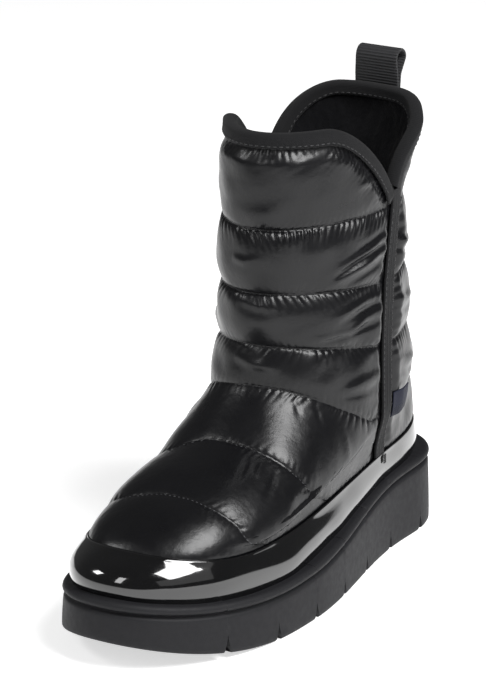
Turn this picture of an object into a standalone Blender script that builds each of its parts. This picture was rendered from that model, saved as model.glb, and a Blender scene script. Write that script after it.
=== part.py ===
"""Apres ski boot for the left foot: quilted nylon shaft and vamp, glossy rand, thick unit sole, inside zip.

Lengths in the tables are millimetres. s runs from the heel end of the sole (0) to the tip of the toe
(SOLE_LENGTH), x is positive on the outer (lateral) side, z is up from the floor. The origin lies on the
floor under the middle of the heel, with the toe towards -Y.
"""
import math

import bmesh
import bpy
import numpy as np
from mathutils import Matrix, Vector

MM = 0.001
GAP = 0.3                # clearance between neighbouring pieces

# Outsole: length, half widths, where its rounded ends begin and how square they are
SOLE_LENGTH = 272.0
HEEL_HALF = 38.0
BALL_HALF = {"lateral": 53.3, "medial": 52.4}
HEEL_ROUND, HEEL_POWER = 0.154, 2.23
TOE_ROUND, TOE_POWER = 0.647, 2.13
WAIST = {"lateral": 0.0, "medial": 5.2}
WAIST_AT, WAIST_SPREAD = 0.40, 0.13
TOE_SWING = 4.8          # how far the toe leans to the inner side
TOE_SPRING, TOE_SPRING_FROM = 14.3, 0.70
HEEL_LIFT, HEEL_LIFT_TO = 3.0, 0.07
GROOVE_Z = {"heel": 33.9, "ball": 20.65, "toe rise": 8.6}
HEEL_POINT = 52.0        # s of the origin, on the tread between the first two cuts of the heel

# Side of the sole from the tread up to its top lip: how far in from the outline, and height over a line
SOLE_SIDE = (
    # inset line      rise
    (1.2, "ground", 0.0),
    (0.0, "ground", 1.4),
    (0.9, "groove", -1.2),
    (1.4, "groove", 0.0),
    (2.6, "groove", 0.5),
    (2.6, "groove", 1.5),
    (1.0, "groove", 1.9),
    (0.5, "groove", 3.5),
    (1.2, "groove", 5.1),
    (2.8, "groove", 5.8),
)
LUG_PITCH, LUG_FIRST, LUG_COUNT = 32.4, 36.0, 7
LUG_WIDTH, LUG_HEIGHT, LUG_REACH, TREAD_DEPTH = 4.4, 8.0, 9.0, 3.0
SEAT_DEPTH = 0.6         # the sole's seat below the edge of the upper
LIP_CLEAR = 0.9          # room for the rand to lean out over the seat

# Upper, a row for each hoop of its seams from the sole to the collar. Columns: s and z of the front ridge,
# s and z of the widest place, half widths outside and inside, s and z at the back, half widths of the heel,
# squareness of the front, rise of the hoop over the foot, length of the rounded back
HOOPS = np.array((
    (263.0, 31.3, 180, 24.3, 45.0, 44.0, 8.5, 37.3, 30.5, 29.5, 2.20, 2.0, 0.26),    # edge at the sole
    (264.5, 42.0, 182, 34.0, 46.0, 45.0, 6.5, 47.0, 32.5, 31.5, 2.20, 2.0, 0.26),    # middle of the rand
    (250.0, 52.0, 188, 45.0, 41.5, 40.5, 9.0, 57.0, 33.5, 32.5, 2.40, 2.6, 0.28),    # top of the rand
    (212.0, 69.0, 196, 48.0, 42.0, 41.0, 10.0, 63.0, 34.5, 33.5, 2.60, 1.7, 0.35),   # toe seam
    (169.0, 84.0, 148, 54.0, 42.5, 41.5, 11.0, 69.0, 36.5, 35.5, 2.25, 1.1, 0.55),   # instep seam
    (147.0, 104.0, 94, 78.0, 40.0, 39.0, 13.0, 82.0, 37.5, 36.5, 2.10, 1.0, 0.90),   # ankle seam
    (143.0, 125.0, 81, 113.0, 38.5, 37.5, 21.0, 114.0, 38.5, 37.5, 2.00, 0.9, 1.0),  # first shaft seam
    (142.0, 151.0, 79, 146.0, 38.5, 37.5, 30.0, 148.0, 38.5, 37.5, 2.00, 0.8, 1.0),  # second shaft seam
    (142.0, 183.0, 75, 184.0, 38.5, 37.5, 33.0, 185.0, 38.5, 37.5, 2.00, 0.8, 1.0),  # third shaft seam
    (140.0, 229.0, 72, 228.0, 39.5, 38.5, 29.0, 228.0, 39.5, 38.5, 2.00, 1.0, 1.0),  # level of the collar
    (139.5, 252.0, 71, 252.0, 40.0, 39.0, 27.5, 252.0, 40.0, 39.0, 2.00, 1.0, 1.0),  # above the collar
))
RAND_TOP, ANKLE_SEAM, TOP_SEAM, COLLAR = 2, 5, 8, 9
FRONT_SEAMS = np.array((2, 3, 4, 5, 6, 7, 8))
BACK_SEAMS = np.array((2, 5, 6, 7, 8))
PUFF_HEIGHT = np.array((0, 0, 3.2, 3.6, 3.6, 3.2, 3.8, 3.3, 2.8))
PUFF_SPAN = 24.0         # a puff narrower than this is lower in proportion
PUFF_FULLNESS = 0.6
WALL = 3.0               # shell, padding and lining pressed together at a seam

# Collar: height of its edge at the notch, rise of the front and back panels, and where each starts to fall
NOTCH_U, NOTCH_Z, COLLAR_RISE = 0.256, 188.0, 42.5
FRONT_FALL_FROM, FRONT_FALL_POWER = 0.13, 1.85
BACK_FALL_FROM, BACK_FALL_POWER = 0.06, {"lateral": 2.6, "medial": 2.1}
FLAP_FLARE = {"lateral": 6.5, "back": 3.0}
UPPER_COLUMNS = (0, .022, .045, .068, .09, .112, .134, .154, .172, .188, .203, .217, .231, .244, .256, .268,
                 .28, .293, .308, .325, .345, .367, .39, .417, .445, .473, .5)

# Trims laid on the shaft, as s of their middle down the side, a value for each hoop from the rand up
SEAM_LINE = np.array((77.0, 79.0, 79.5, 79.0, 77.5, 76.0, 70.0))
SEAM_TAPE_WIDTH, TAPE = 9.4, 1.2
ZIP_BACK, ZIP_TAPE_WIDTH, ZIP_TAPE, TEETH_WIDTH, TEETH = 11.9, 13.6, 0.8, 5.0, 1.5
COLLAR_LEG = 7.0
RAND = 1.5
TRIM_LIFT = 0.6          # lift of a trim whose facets don't follow those of the upper
COLLAR_LIFT = 0.75
SLIDER_V = 7.78
LOOP_WIDTH, LOOP_THICK, LOOP_TOP, LOOP_FOOT, LOOP_OPEN = 25.0, 1.4, 250.0, 205.0, 8.0
LABEL = {"v": (4.45, 5.05), "s": (72.0, 55.0)}


def smooth(x):
    x = np.clip(x, 0, 1)
    return x * x * (3 - 2 * x)


# The upper's own surface

def hoop_values(v):
    """Values of the table between its rows: Hermite curves through them."""
    last = len(HOOPS) - 1
    v = np.clip(v, 0, last)
    i = np.minimum(v.astype(int), last - 1)
    f = (v - i)[..., None]
    before, low, high, after = HOOPS[np.maximum(i - 1, 0)], HOOPS[i], HOOPS[i + 1], HOOPS[np.minimum(i + 2, last)]
    slope_low = np.where((i == 0)[..., None], high - low, (high - before) / 2)
    slope_high = np.where((i == last - 1)[..., None], high - low, (after - low) / 2)
    return ((2 * f**3 - 3 * f**2 + 1) * low + (f**3 - 2 * f**2 + f) * slope_low
            + (3 * f**2 - 2 * f**3) * high + (f**3 - f**2) * slope_high)


def surface(u, v):
    """Point (x, s, z) at u around the leg (0 front, 0.25 outer side, 0.5 back) and v up the hoops."""
    u, v = np.broadcast_arrays(np.asarray(u, float) % 1, np.asarray(v, float))
    (front_s, front_z, side_s, side_z, lateral, medial, back_s, back_z, heel_lat, heel_med,
     blunt, crown, back_round) = np.moveaxis(hoop_values(v), -1, 0)
    outer = u < 0.5
    turn = np.where(outer, u, 1 - u) * 4
    side = np.where(outer, lateral, medial)
    heel = np.where(outer, heel_lat, heel_med)
    angle = np.clip(turn, 0, 1) * math.pi / 2
    reach = (np.cos(angle)**blunt + np.sin(angle)**blunt)**(-1 / blunt)
    ahead, aside = np.clip(reach * np.cos(angle), 0, 1), np.clip(reach * np.sin(angle), 0, 1)
    along = 1 - np.sin(np.clip(turn - 1, 0, 1) * math.pi / 2)
    width = np.sqrt(1 - np.clip(1 - along / back_round, 0, 1)**2)
    at_front = turn < 1
    x = np.where(at_front, side * aside, width * (heel + (side - heel) * smooth(1.25 * along - 0.25)))
    s = np.where(at_front, side_s + (front_s - side_s) * ahead, back_s + (side_s - back_s) * along)
    z = np.where(at_front, side_z + (front_z - side_z) * ahead**crown, back_z + (side_z - back_z) * smooth(along))
    extra = (FLAP_FLARE["lateral"] - FLAP_FLARE["back"]) * smooth((2 - turn) / 0.5)
    flare = FLAP_FLARE["back"] + np.where(outer, extra, 0)
    flare = flare * smooth((v - 8.15) / 0.7) * smooth((turn - 1.02) / 0.35)
    out_x, out_s = aside_of(turn)
    x = (x + flare * out_x) * np.where(outer, 1, -1) - TOE_SWING * np.clip((s - 150) / 113, 0, 1)**2
    return np.stack((x, s + flare * out_s, z), -1)


def aside_of(turn):
    """Level direction away from the leg's axis, for turn 0 at the front, 1 at the side and 2 at the back."""
    return np.sin(turn * math.pi / 2), np.cos(turn * math.pi / 2)


def surface_normal(u, v):
    step = 2e-3
    around = surface(u + step, v) - surface(u - step, v)
    upward = surface(u, np.minimum(v + step, 10)) - surface(u, np.maximum(v - step, 0))
    normal = np.cross(upward, around)
    return normal / np.linalg.norm(normal, axis=-1, keepdims=True)


def lifted(u, v, height):
    return surface(u, v) + surface_normal(u, v) * np.asarray(height)[..., None]


def collar_v(u):
    """v of the collar's edge: the front panel is level and falls to the notch, the back panel stands up."""
    u = np.asarray(u, float) % 1
    outer = u < 0.5
    turn = np.where(outer, u, 1 - u)
    fall_front = np.clip((turn - FRONT_FALL_FROM) / (NOTCH_U - FRONT_FALL_FROM), 0, 1)**FRONT_FALL_POWER
    power = np.where(outer, BACK_FALL_POWER["lateral"], BACK_FALL_POWER["medial"])
    fall_back = np.clip((0.5 - turn - BACK_FALL_FROM) / (0.5 - NOTCH_U - BACK_FALL_FROM), 0, 1)**power
    z = NOTCH_Z + COLLAR_RISE * (1 - np.where(turn < NOTCH_U, fall_front, fall_back))
    z_low, z_high = surface(u, np.full_like(u, 8.0))[..., 2], surface(u, np.full_like(u, 9.0))[..., 2]
    return 8 + (z - z_low) / (z_high - z_low)


def u_at(s, v, outer=True):
    """u of the point at length s on the hoop v, on the rear of one side."""
    row = hoop_values(np.asarray(v, float))
    front_s, side_s, back_s = row[..., 0], row[..., 2], row[..., 6]
    behind = np.arcsin(np.clip(1 - (s - back_s) / (side_s - back_s), -1, 1)) * 2 / math.pi
    ahead = np.arcsin(np.clip((s - side_s) / (front_s - side_s), 0, 1)) * 2 / math.pi
    u = (1 + np.where(s < side_s, behind, -ahead)) / 4
    return u if outer else 1 - u


def seam_s(v):
    return np.interp(v, np.arange(2, 9), SEAM_LINE)


def puff_top(u):
    """v where the collar's puff ends, just below the binding of the edge."""
    edge = collar_v(u)
    return np.maximum(edge - (COLLAR_LEG + 1.5) / 43, 8 + 0.35 * (edge - 8))


def edge_distance(u, v):
    """Distance from the collar's edge, square to it, of a point at or below it."""
    step = 4e-3
    run = surface(u + step, collar_v(u + step)) - surface(u - step, collar_v(u - step))
    level = np.hypot(run[..., 0], run[..., 1])
    return (collar_v(u) - v) * 43 * level / np.linalg.norm(run, axis=-1)


def puff_between(u, v, seams):
    """Round puffs between neighbouring seams, lower where the seams run close together."""
    k = np.clip(np.searchsorted(seams, v, side="right") - 1, 0, len(seams) - 1)
    low = seams[k].astype(float)
    high = np.where(k == len(seams) - 1, puff_top(u), np.append(seams, COLLAR)[k + 1])
    bottom, top = surface(u, low), surface(u, high)
    part = np.clip((surface(u, v)[..., 2] - bottom[..., 2]) / (top[..., 2] - bottom[..., 2]), 0, 1)
    span = np.linalg.norm(top - bottom, axis=-1)
    return PUFF_HEIGHT[low.astype(int)] * np.minimum(span / PUFF_SPAN, 1) * np.sin(math.pi * part)**PUFF_FULLNESS


def puff_height(u, v):
    """Padding's rise over the seams: round puffs, flat beside the trims and below the collar's edge."""
    u, v = np.broadcast_arrays(np.asarray(u, float) % 1, np.asarray(v, float))
    turn = np.where(u < 0.5, u, 1 - u) * 4
    rear = smooth((turn - 0.8) / 0.2)
    height = puff_between(u, v, FRONT_SEAMS) * (1 - rear) + puff_between(u, v, BACK_SEAMS) * rear
    s = surface(u, v)[..., 1]
    front_edge = seam_s(v) + SEAM_TAPE_WIDTH / 2
    rear_edge = seam_s(v) - np.where(u < 0.5, SEAM_TAPE_WIDTH / 2, ZIP_BACK + ZIP_TAPE_WIDTH / 2)
    clear = np.maximum(s - front_edge, rear_edge - s) - np.where(v < ANKLE_SEAM, 6, 2)
    under_loop = (v > TOP_SEAM) & (turn > 1.78)
    flat = smooth(clear / 10) * smooth((edge_distance(u, v) - COLLAR_LEG - 2) / 5)
    return np.where((v > RAND_TOP) & ~under_loop, height * flat, 0)


# Meshes and objects

def to_world(points):
    points = np.asarray(points, float)
    return np.stack((points[..., 0], HEEL_POINT - points[..., 1], points[..., 2]), -1) * MM


def make_material(name, colour, roughness, metallic=0.0, coat=0.0):
    material = bpy.data.materials.new(name)
    material.use_nodes = True
    shader = material.node_tree.nodes["Principled BSDF"]
    shader.inputs["Base Color"].default_value = (*colour, 1)
    shader.inputs["Roughness"].default_value = roughness
    shader.inputs["Metallic"].default_value = metallic
    shader.inputs["Coat Weight"].default_value = coat
    return material


def add_object(name, mesh, material, collection):
    thing = bpy.data.objects.new(name, mesh)
    mesh.materials.clear()
    mesh.materials.append(material)
    mesh.shade_smooth()
    collection.objects.link(thing)
    return thing


def mesh_from(name, points, faces):
    """Mesh of (x, s, z) points in millimetres, its faces turned outwards where it is closed."""
    mesh = bpy.data.meshes.new(name)
    mesh.from_pydata(to_world(points).tolist(), [], faces)
    work = bmesh.new()
    work.from_mesh(mesh)
    if all(len(edge.link_faces) == 2 for edge in work.edges):
        bmesh.ops.recalc_face_normals(work, faces=work.faces)
    work.to_mesh(mesh)
    work.free()
    return mesh


def ring_quads(low, high, closed=True):
    """Faces between two rings of vertex numbers."""
    count = len(low)
    steps = range(count if closed else count - 1)
    return [(low[i], low[(i + 1) % count], high[(i + 1) % count], high[i]) for i in steps]


def cap_faces(ring):
    """Faces that close a ring from its outer side straight across to its inner side."""
    half = len(ring) // 2
    faces = [(ring[0], ring[1], ring[-1])]
    faces += [(ring[i], ring[i + 1], ring[-i - 1], ring[-i]) for i in range(1, half - 1)]
    return faces + [(ring[half - 1], ring[half], ring[half + 1])]


def stack_rings(name, rings, cap_ends):
    """Closed loft through rings of equal counts: a solid with both ends capped, or a tube bent onto itself."""
    count = len(rings[0])
    numbers = [list(range(k * count, (k + 1) * count)) for k in range(len(rings))]
    faces = []
    for low, high in zip(numbers, numbers[1:] if cap_ends else numbers[1:] + numbers[:1]):
        faces += ring_quads(low, high)
    if cap_ends:
        faces += cap_faces(numbers[0]) + cap_faces(numbers[-1])
    return mesh_from(name, np.concatenate(rings), faces)


def add_skin(name, u, v, lift, thickness, material, collection, closed=False):
    """Sheet laid over the upper on a grid of u and v, thickened outwards."""
    u, v = np.broadcast_arrays(u, v)
    rows, columns = u.shape
    points = lifted(u, v, np.full(u.shape, lift)).reshape(-1, 3)
    numbers = np.arange(rows * columns).reshape(rows, columns).tolist()
    faces = []
    for low, high in zip(numbers, numbers[1:]):
        faces += ring_quads(low, high, closed)
    thing = add_object(name, mesh_from(name, points, faces), material, collection)
    shell = thing.modifiers.new("Thickness", "SOLIDIFY")
    shell.thickness = thickness * MM
    shell.offset = 1 if open_grid_faces_out(u, v) else -1
    return thing


def open_grid_faces_out(u, v):
    """Whether the grid's faces, as wound, point away from the leg."""
    p = to_world(surface(u, v))
    normal = np.cross(p[0, 1] - p[0, 0], p[1, 0] - p[0, 0])
    outward = to_world(lifted(u, v, np.ones(u.shape))) - p
    return float(np.dot(normal, outward[0, 0])) > 0


def cut(target, cutter):
    """Subtract a wire-drawn cutter from a part."""
    cutter.hide_render = True
    cutter.display_type = "WIRE"
    boolean = target.modifiers.new("Cut", "BOOLEAN")
    boolean.operation = "DIFFERENCE"
    boolean.object = cutter


# Sole

def outline_x(t, side):
    """Half width of the sole at t of its length, with its rounded ends, waist and swing to the inner side."""
    heel = (1 - np.clip(1 - t / HEEL_ROUND, 0, 1)**HEEL_POWER)**(1 / HEEL_POWER)
    toe = (1 - np.clip((t - TOE_ROUND) / (1 - TOE_ROUND), 0, 1)**TOE_POWER)**(1 / TOE_POWER)
    body = HEEL_HALF + (BALL_HALF[side] - HEEL_HALF) * smooth((t - 0.2) / 0.42)
    waist = WAIST[side] * np.exp(-((t - WAIST_AT) / WAIST_SPREAD)**2)
    swing = TOE_SWING * np.clip((t - 0.55) / 0.45, 0, 1)**2
    return heel * toe * (body - waist) * (1 if side == "lateral" else -1) - swing


def ground_z(t):
    spring = TOE_SPRING * np.clip((t - TOE_SPRING_FROM) / (1 - TOE_SPRING_FROM), 0, 1)**2
    return spring + HEEL_LIFT * np.clip((HEEL_LIFT_TO - t) / HEEL_LIFT_TO, 0, 1)**2


def groove_z(t):
    level = GROOVE_Z["heel"] + (GROOVE_Z["ball"] - GROOVE_Z["heel"]) * smooth((t - 0.1) / 0.6)
    return level + GROOVE_Z["toe rise"] * np.clip((t - TOE_SPRING_FROM) / (1 - TOE_SPRING_FROM), 0, 1)**2


def full_columns():
    half = np.array(UPPER_COLUMNS)
    return np.concatenate((half, 1 - half[-2:0:-1]))


def feather_ring(columns, offset, rise):
    """Edge of the upper at the sole, moved level outwards by offset and up by rise."""
    edge = surface(columns, np.zeros(len(columns)))
    along = np.roll(edge, -1, 0) - np.roll(edge, 1, 0)
    outward = np.stack((along[:, 1], -along[:, 0]), -1)
    outward /= np.linalg.norm(outward, axis=1, keepdims=True)
    if np.sum(outward * (edge[:, :2] - edge[:, :2].mean(0))) < 0:
        outward = -outward
    ring = edge.copy()
    ring[:, :2] += outward * offset
    ring[:, 2] += rise
    return ring


def sole_ring(columns, inset, line, rise):
    """Ring of the sole's side, each point on the way from the outline to the edge of the upper."""
    t = (1 - np.cos(np.linspace(0, math.pi, 700))) / 2
    outline = np.concatenate((np.stack((outline_x(t, "lateral"), t), -1),
                              np.stack((outline_x(t, "medial"), t), -1)[::-1]))
    outline[:, 1] *= SOLE_LENGTH
    edge = feather_ring(columns, 0, 0)[:, :2]
    nearest = np.argmin(np.linalg.norm(outline[None] - edge[:, None], axis=2), 1)
    outer = outline[nearest]
    inward = (edge - outer) / np.linalg.norm(edge - outer, axis=1, keepdims=True)
    level = (ground_z if line == "ground" else groove_z)(outer[:, 1] / SOLE_LENGTH)
    return np.column_stack((outer + inward * inset, level + rise))


def lug_cutter(name, bars, collection, material):
    """Wedges for the cuts between the lugs, a bar being its middle, length and height."""
    mesh = bpy.data.meshes.new(name)
    work = bmesh.new()
    turn = Matrix.Rotation(math.pi / 4, 4, "X")
    for x, s, length, height in bars:
        wedge = bmesh.ops.create_cube(work, size=math.sqrt(0.5))["verts"]
        size = Matrix.Diagonal((length / math.sqrt(0.5) * MM, LUG_WIDTH * MM, 2 * height * MM, 1))
        place = Matrix.Translation((x * MM, (HEEL_POINT - s) * MM, float(ground_z(s / SOLE_LENGTH)) * MM))
        bmesh.ops.transform(work, matrix=place @ size @ turn, verts=wedge)
    work.to_mesh(mesh)
    work.free()
    return add_object(name, mesh, material, collection)


def make_outsole(collection, cutters, material):
    columns = full_columns()
    rings = [sole_ring(columns, *row) for row in SOLE_SIDE]
    seat_edge = GAP + RAND + GAP + LIP_CLEAR
    lip = feather_ring(columns, seat_edge, 0)
    lip[:, 2] = rings[-1][:, 2]
    rings += [lip, feather_ring(columns, seat_edge, -SEAT_DEPTH)]
    sole = add_object("outsole", stack_rings("outsole", rings, True), material, collection)
    cuts = [LUG_FIRST + number * LUG_PITCH for number in range(LUG_COUNT)]
    tread = [(0.0, s, 130.0, TREAD_DEPTH) for s in cuts]
    sides = [(float(outline_x(s / SOLE_LENGTH, side)), s, 2 * LUG_REACH, LUG_HEIGHT)
             for s in cuts for side in ("lateral", "medial")]
    cut(sole, lug_cutter("tread_cuts", tread, cutters, material))
    cut(sole, lug_cutter("side_cuts", sides, cutters, material))
    return sole


def make_insole(collection, material):
    columns = full_columns()
    rings = [feather_ring(columns, -(WALL + 0.7), rise) for rise in (GAP - SEAT_DEPTH, 3.6)]
    return add_object("insole", stack_rings("insole", rings, True), material, collection)


# Upper and what is sewn on it

def upper_rows():
    """v of each row of the upper's outer face below the collar panels."""
    return [0, 0.5, 1, 1.5, 2] + [k + step for k in range(2, 8) for step in (0.22, 0.5, 0.78, 1)]


def make_upper(collection, material):
    """Hollow upper: quilted outer face, smooth inner face, open at the collar and at the sole."""
    columns = full_columns()
    edge = collar_v(columns)
    outer_v = [np.full(len(columns), float(v)) for v in upper_rows()]
    outer_v += [8 + part * (puff_top(columns) - 8) for part in (0.2, 0.5, 0.8, 1)] + [edge]
    inner_v = [np.full(len(columns), float(v)) for v in (0, 0.5, 1, 1.5, 2, 2.5, 3, 3.5, 4, 4.5, 5, 5.5, 6, 7, 8)]
    inner_v += [8 + part * (puff_top(columns) - 8) for part in (0.5, 1)] + [edge]
    outer = [lifted(columns, v, puff_height(columns, v)) for v in outer_v]
    inner = [lifted(columns, v, np.full(len(columns), -WALL)) for v in inner_v]
    inner[0] = feather_ring(columns, -WALL, 0)
    return add_object("upper", stack_rings("upper", outer + inner[::-1], False), material, collection)


def make_rand(collection, material):
    columns = full_columns()
    rows = np.array((0, 0.5, 1, 1.5, 2.0))[:, None]
    return add_skin("mudguard", columns[None, :], rows, GAP, RAND, material, collection, closed=True)


def side_strip(name, first, second, top, lift, thickness, outer, material, collection):
    """Tape down one side of the shaft, between two distances behind the seam's middle line."""
    rows = np.array([2.12] + [v for v in upper_rows() if 2.12 < v < top] + [top])[:, None]
    offsets = np.linspace(first, second, 4)[None, :]
    u = u_at(seam_s(rows) - offsets, rows + 0 * offsets, outer)
    return add_skin(name, u, rows + 0 * offsets, lift, thickness, material, collection)


def inward_steps(u, v):
    """Steps in u and v for one millimetre square to the collar's edge, down into the panel."""
    step = 4e-3
    by_u = (surface(u + step, v) - surface(u - step, v)) / (2 * step)
    by_v = (surface(u, v + step) - surface(u, v - step)) / (2 * step)
    along = surface(u + step, collar_v(u + step)) - surface(u - step, collar_v(u - step))
    down = np.cross(along, np.cross(by_u, by_v))
    down /= np.linalg.norm(down, axis=1, keepdims=True)
    down *= -np.sign(down[:, 2:])
    uu, uv, vv = np.sum(by_u * by_u, 1), np.sum(by_u * by_v, 1), np.sum(by_v * by_v, 1)
    du, dv = np.sum(down * by_u, 1), np.sum(down * by_v, 1)
    area = uu * vv - uv * uv
    return (du * vv - dv * uv) / area, (dv * uu - du * uv) / area


def make_collar_binding(name, first, last, stations, material, collection):
    """Folded tape over the collar's edge: a channel of two legs along a stretch of the edge."""
    inner, outer = -WALL - COLLAR_LIFT, COLLAR_LIFT
    middle = COLLAR_LEG / 2
    section = ((outer + TAPE, COLLAR_LEG), (outer + TAPE, middle), (outer + TAPE, -0.4), (0.3, -GAP - TAPE),
               (-WALL, -GAP - TAPE), (inner - TAPE, -0.4), (inner - TAPE, middle), (inner - TAPE, COLLAR_LEG),
               (inner, COLLAR_LEG), (inner, middle), (inner, -GAP), (outer, -GAP), (outer, middle),
               (outer, COLLAR_LEG))
    u = np.linspace(first, last, stations)
    v = collar_v(u)
    step_u, step_v = inward_steps(u, v)
    lines = [lifted(u + step_u * down, v + step_v * down, np.full(stations, out)) for out, down in section]
    rings = np.stack(lines, 1)
    count = len(section)
    faces = [tuple(range(count)), tuple(range((stations - 1) * count, stations * count))]
    for i in range(stations - 1):
        faces += ring_quads(list(range(i * count, (i + 1) * count)), list(range((i + 1) * count, (i + 2) * count)))
    return add_object(name, mesh_from(name, rings.reshape(-1, 3), faces), material, collection)


def make_pull_loop(collection, material):
    """Webbing folded into a standing loop, both ends sewn to the outside of the back flap."""
    back_s = float(surface(0.5, collar_v(0.5))[1])
    feet = [(z, float(surface(0.5, 8 + (z - 185) / 43)[1])) for z in np.linspace(LOOP_FOOT, 229.0, 4)]
    first = -(COLLAR_LIFT + TAPE + 2 * GAP + LOOP_THICK / 2)
    second = first - LOOP_THICK - GAP
    radius = (LOOP_OPEN + LOOP_THICK) / 2
    top = LOOP_TOP - LOOP_THICK / 2 - radius
    middle = back_s + first + 1.0 - radius
    arc = [(middle + radius * math.cos(a), top + radius * math.sin(a)) for a in np.linspace(0, math.pi, 9)]
    path = [(s + first, z) for z, s in feet] + arc + [(back_s + second - 0.6, 235.0)]
    path += [(s + second, z) for z, s in reversed(feet)]
    x = (-LOOP_WIDTH / 2, LOOP_WIDTH / 2)
    points = [(side, s, z) for s, z in path for side in x]
    faces = [(2 * i, 2 * i + 1, 2 * i + 3, 2 * i + 2) for i in range(len(path) - 1)]
    loop = add_object("pull_loop", mesh_from("pull_loop", points, faces), material, collection)
    shell = loop.modifiers.new("Thickness", "SOLIDIFY")
    shell.thickness = LOOP_THICK * MM
    shell.offset = 0
    shell.use_even_offset = True
    return loop


# Zip slider and its pull, in the frame of the zip: X across, Y up the chain, Z away from the leg

SLIDER = {"width": 8.6, "length": 11.0, "thick": 3.0, "bridge_width": 2.4, "bridge_length": 7.4, "bridge": 3.4}
EYE = 2.3
PULL = {"wire": 0.75, "half": 2.7, "length": 23.0}


def zip_frame():
    v = np.array(SLIDER_V)
    u = u_at(seam_s(v) - ZIP_BACK, v, outer=False)
    lift = TRIM_LIFT + ZIP_TAPE + GAP + TEETH + GAP
    point = to_world(lifted(u, v, lift))
    out = Vector(to_world(lifted(u, v, lift + 1)) - point).normalized()
    rise = Vector(to_world(lifted(u, v + 0.02, lift)) - point).normalized()
    across = rise.cross(out).normalized()
    rise = out.cross(across)
    frame = Matrix((across, rise, out)).transposed().to_4x4()
    return Matrix.Translation(Vector(point)) @ frame


def box_mesh(name, size, centre, frame):
    mesh = bpy.data.meshes.new(name)
    work = bmesh.new()
    bmesh.ops.create_cube(work, size=1)
    place = Matrix.Translation(Vector(centre) * MM) @ Matrix.Diagonal((*(value * MM for value in size), 1))
    bmesh.ops.transform(work, matrix=frame @ place, verts=work.verts)
    work.to_mesh(mesh)
    work.free()
    return mesh


def make_slider(collection, cutters, material):
    frame = zip_frame()
    body = (SLIDER["width"], SLIDER["length"], SLIDER["thick"])
    slider = add_object("zip_slider", box_mesh("zip_slider", body, (0, 0, body[2] / 2), frame), material, collection)
    edge = slider.modifiers.new("Rounded edges", "BEVEL")
    edge.width = 0.7 * MM
    edge.segments = 2
    size = (SLIDER["bridge_width"], SLIDER["bridge_length"], SLIDER["bridge"])
    bridge = add_object("slider_bridge", box_mesh("slider_bridge", size, (0, 0, body[2] + size[2] / 2 - 0.4), frame),
                        material, cutters)
    bridge.hide_render = True
    bridge.display_type = "WIRE"
    union = slider.modifiers.new("Bridge", "BOOLEAN")
    union.operation = "UNION"
    union.object = bridge
    eye = (SLIDER["width"], EYE, EYE)
    hole = add_object("slider_eye", box_mesh("slider_eye", eye, (0, 0, eye_height()), frame), material, cutters)
    cut(slider, hole)
    return slider


def eye_height():
    return SLIDER["thick"] + EYE / 2 + 0.05


def make_pull(collection, material):
    """Wire pull hanging from the slider's bridge, its origin on the hinge axis."""
    frame = zip_frame() @ Matrix.Translation((0, 0, eye_height() * MM))
    curve = bpy.data.curves.new("zip_pull", "CURVE")
    curve.dimensions = "3D"
    curve.bevel_depth = PULL["wire"] * MM
    curve.bevel_resolution = 2
    half, length, corner = PULL["half"], PULL["length"], 0.9
    outline = [(-half + corner, 0), (half - corner, 0), (half, -corner)]
    outline += [(half * math.cos(a), -length + half + half * math.sin(a)) for a in np.linspace(0, -math.pi, 9)]
    outline += [(-half, -corner)]
    spline = curve.splines.new("POLY")
    spline.points.add(len(outline) - 1)
    for point, (x, y) in zip(spline.points, outline):
        point.co = (x * MM, y * MM, 0, 1)
    spline.use_cyclic_u = True
    pull = bpy.data.objects.new("zip_pull", curve)
    curve.materials.append(material)
    pull.matrix_world = frame
    collection.objects.link(pull)
    return pull


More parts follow.
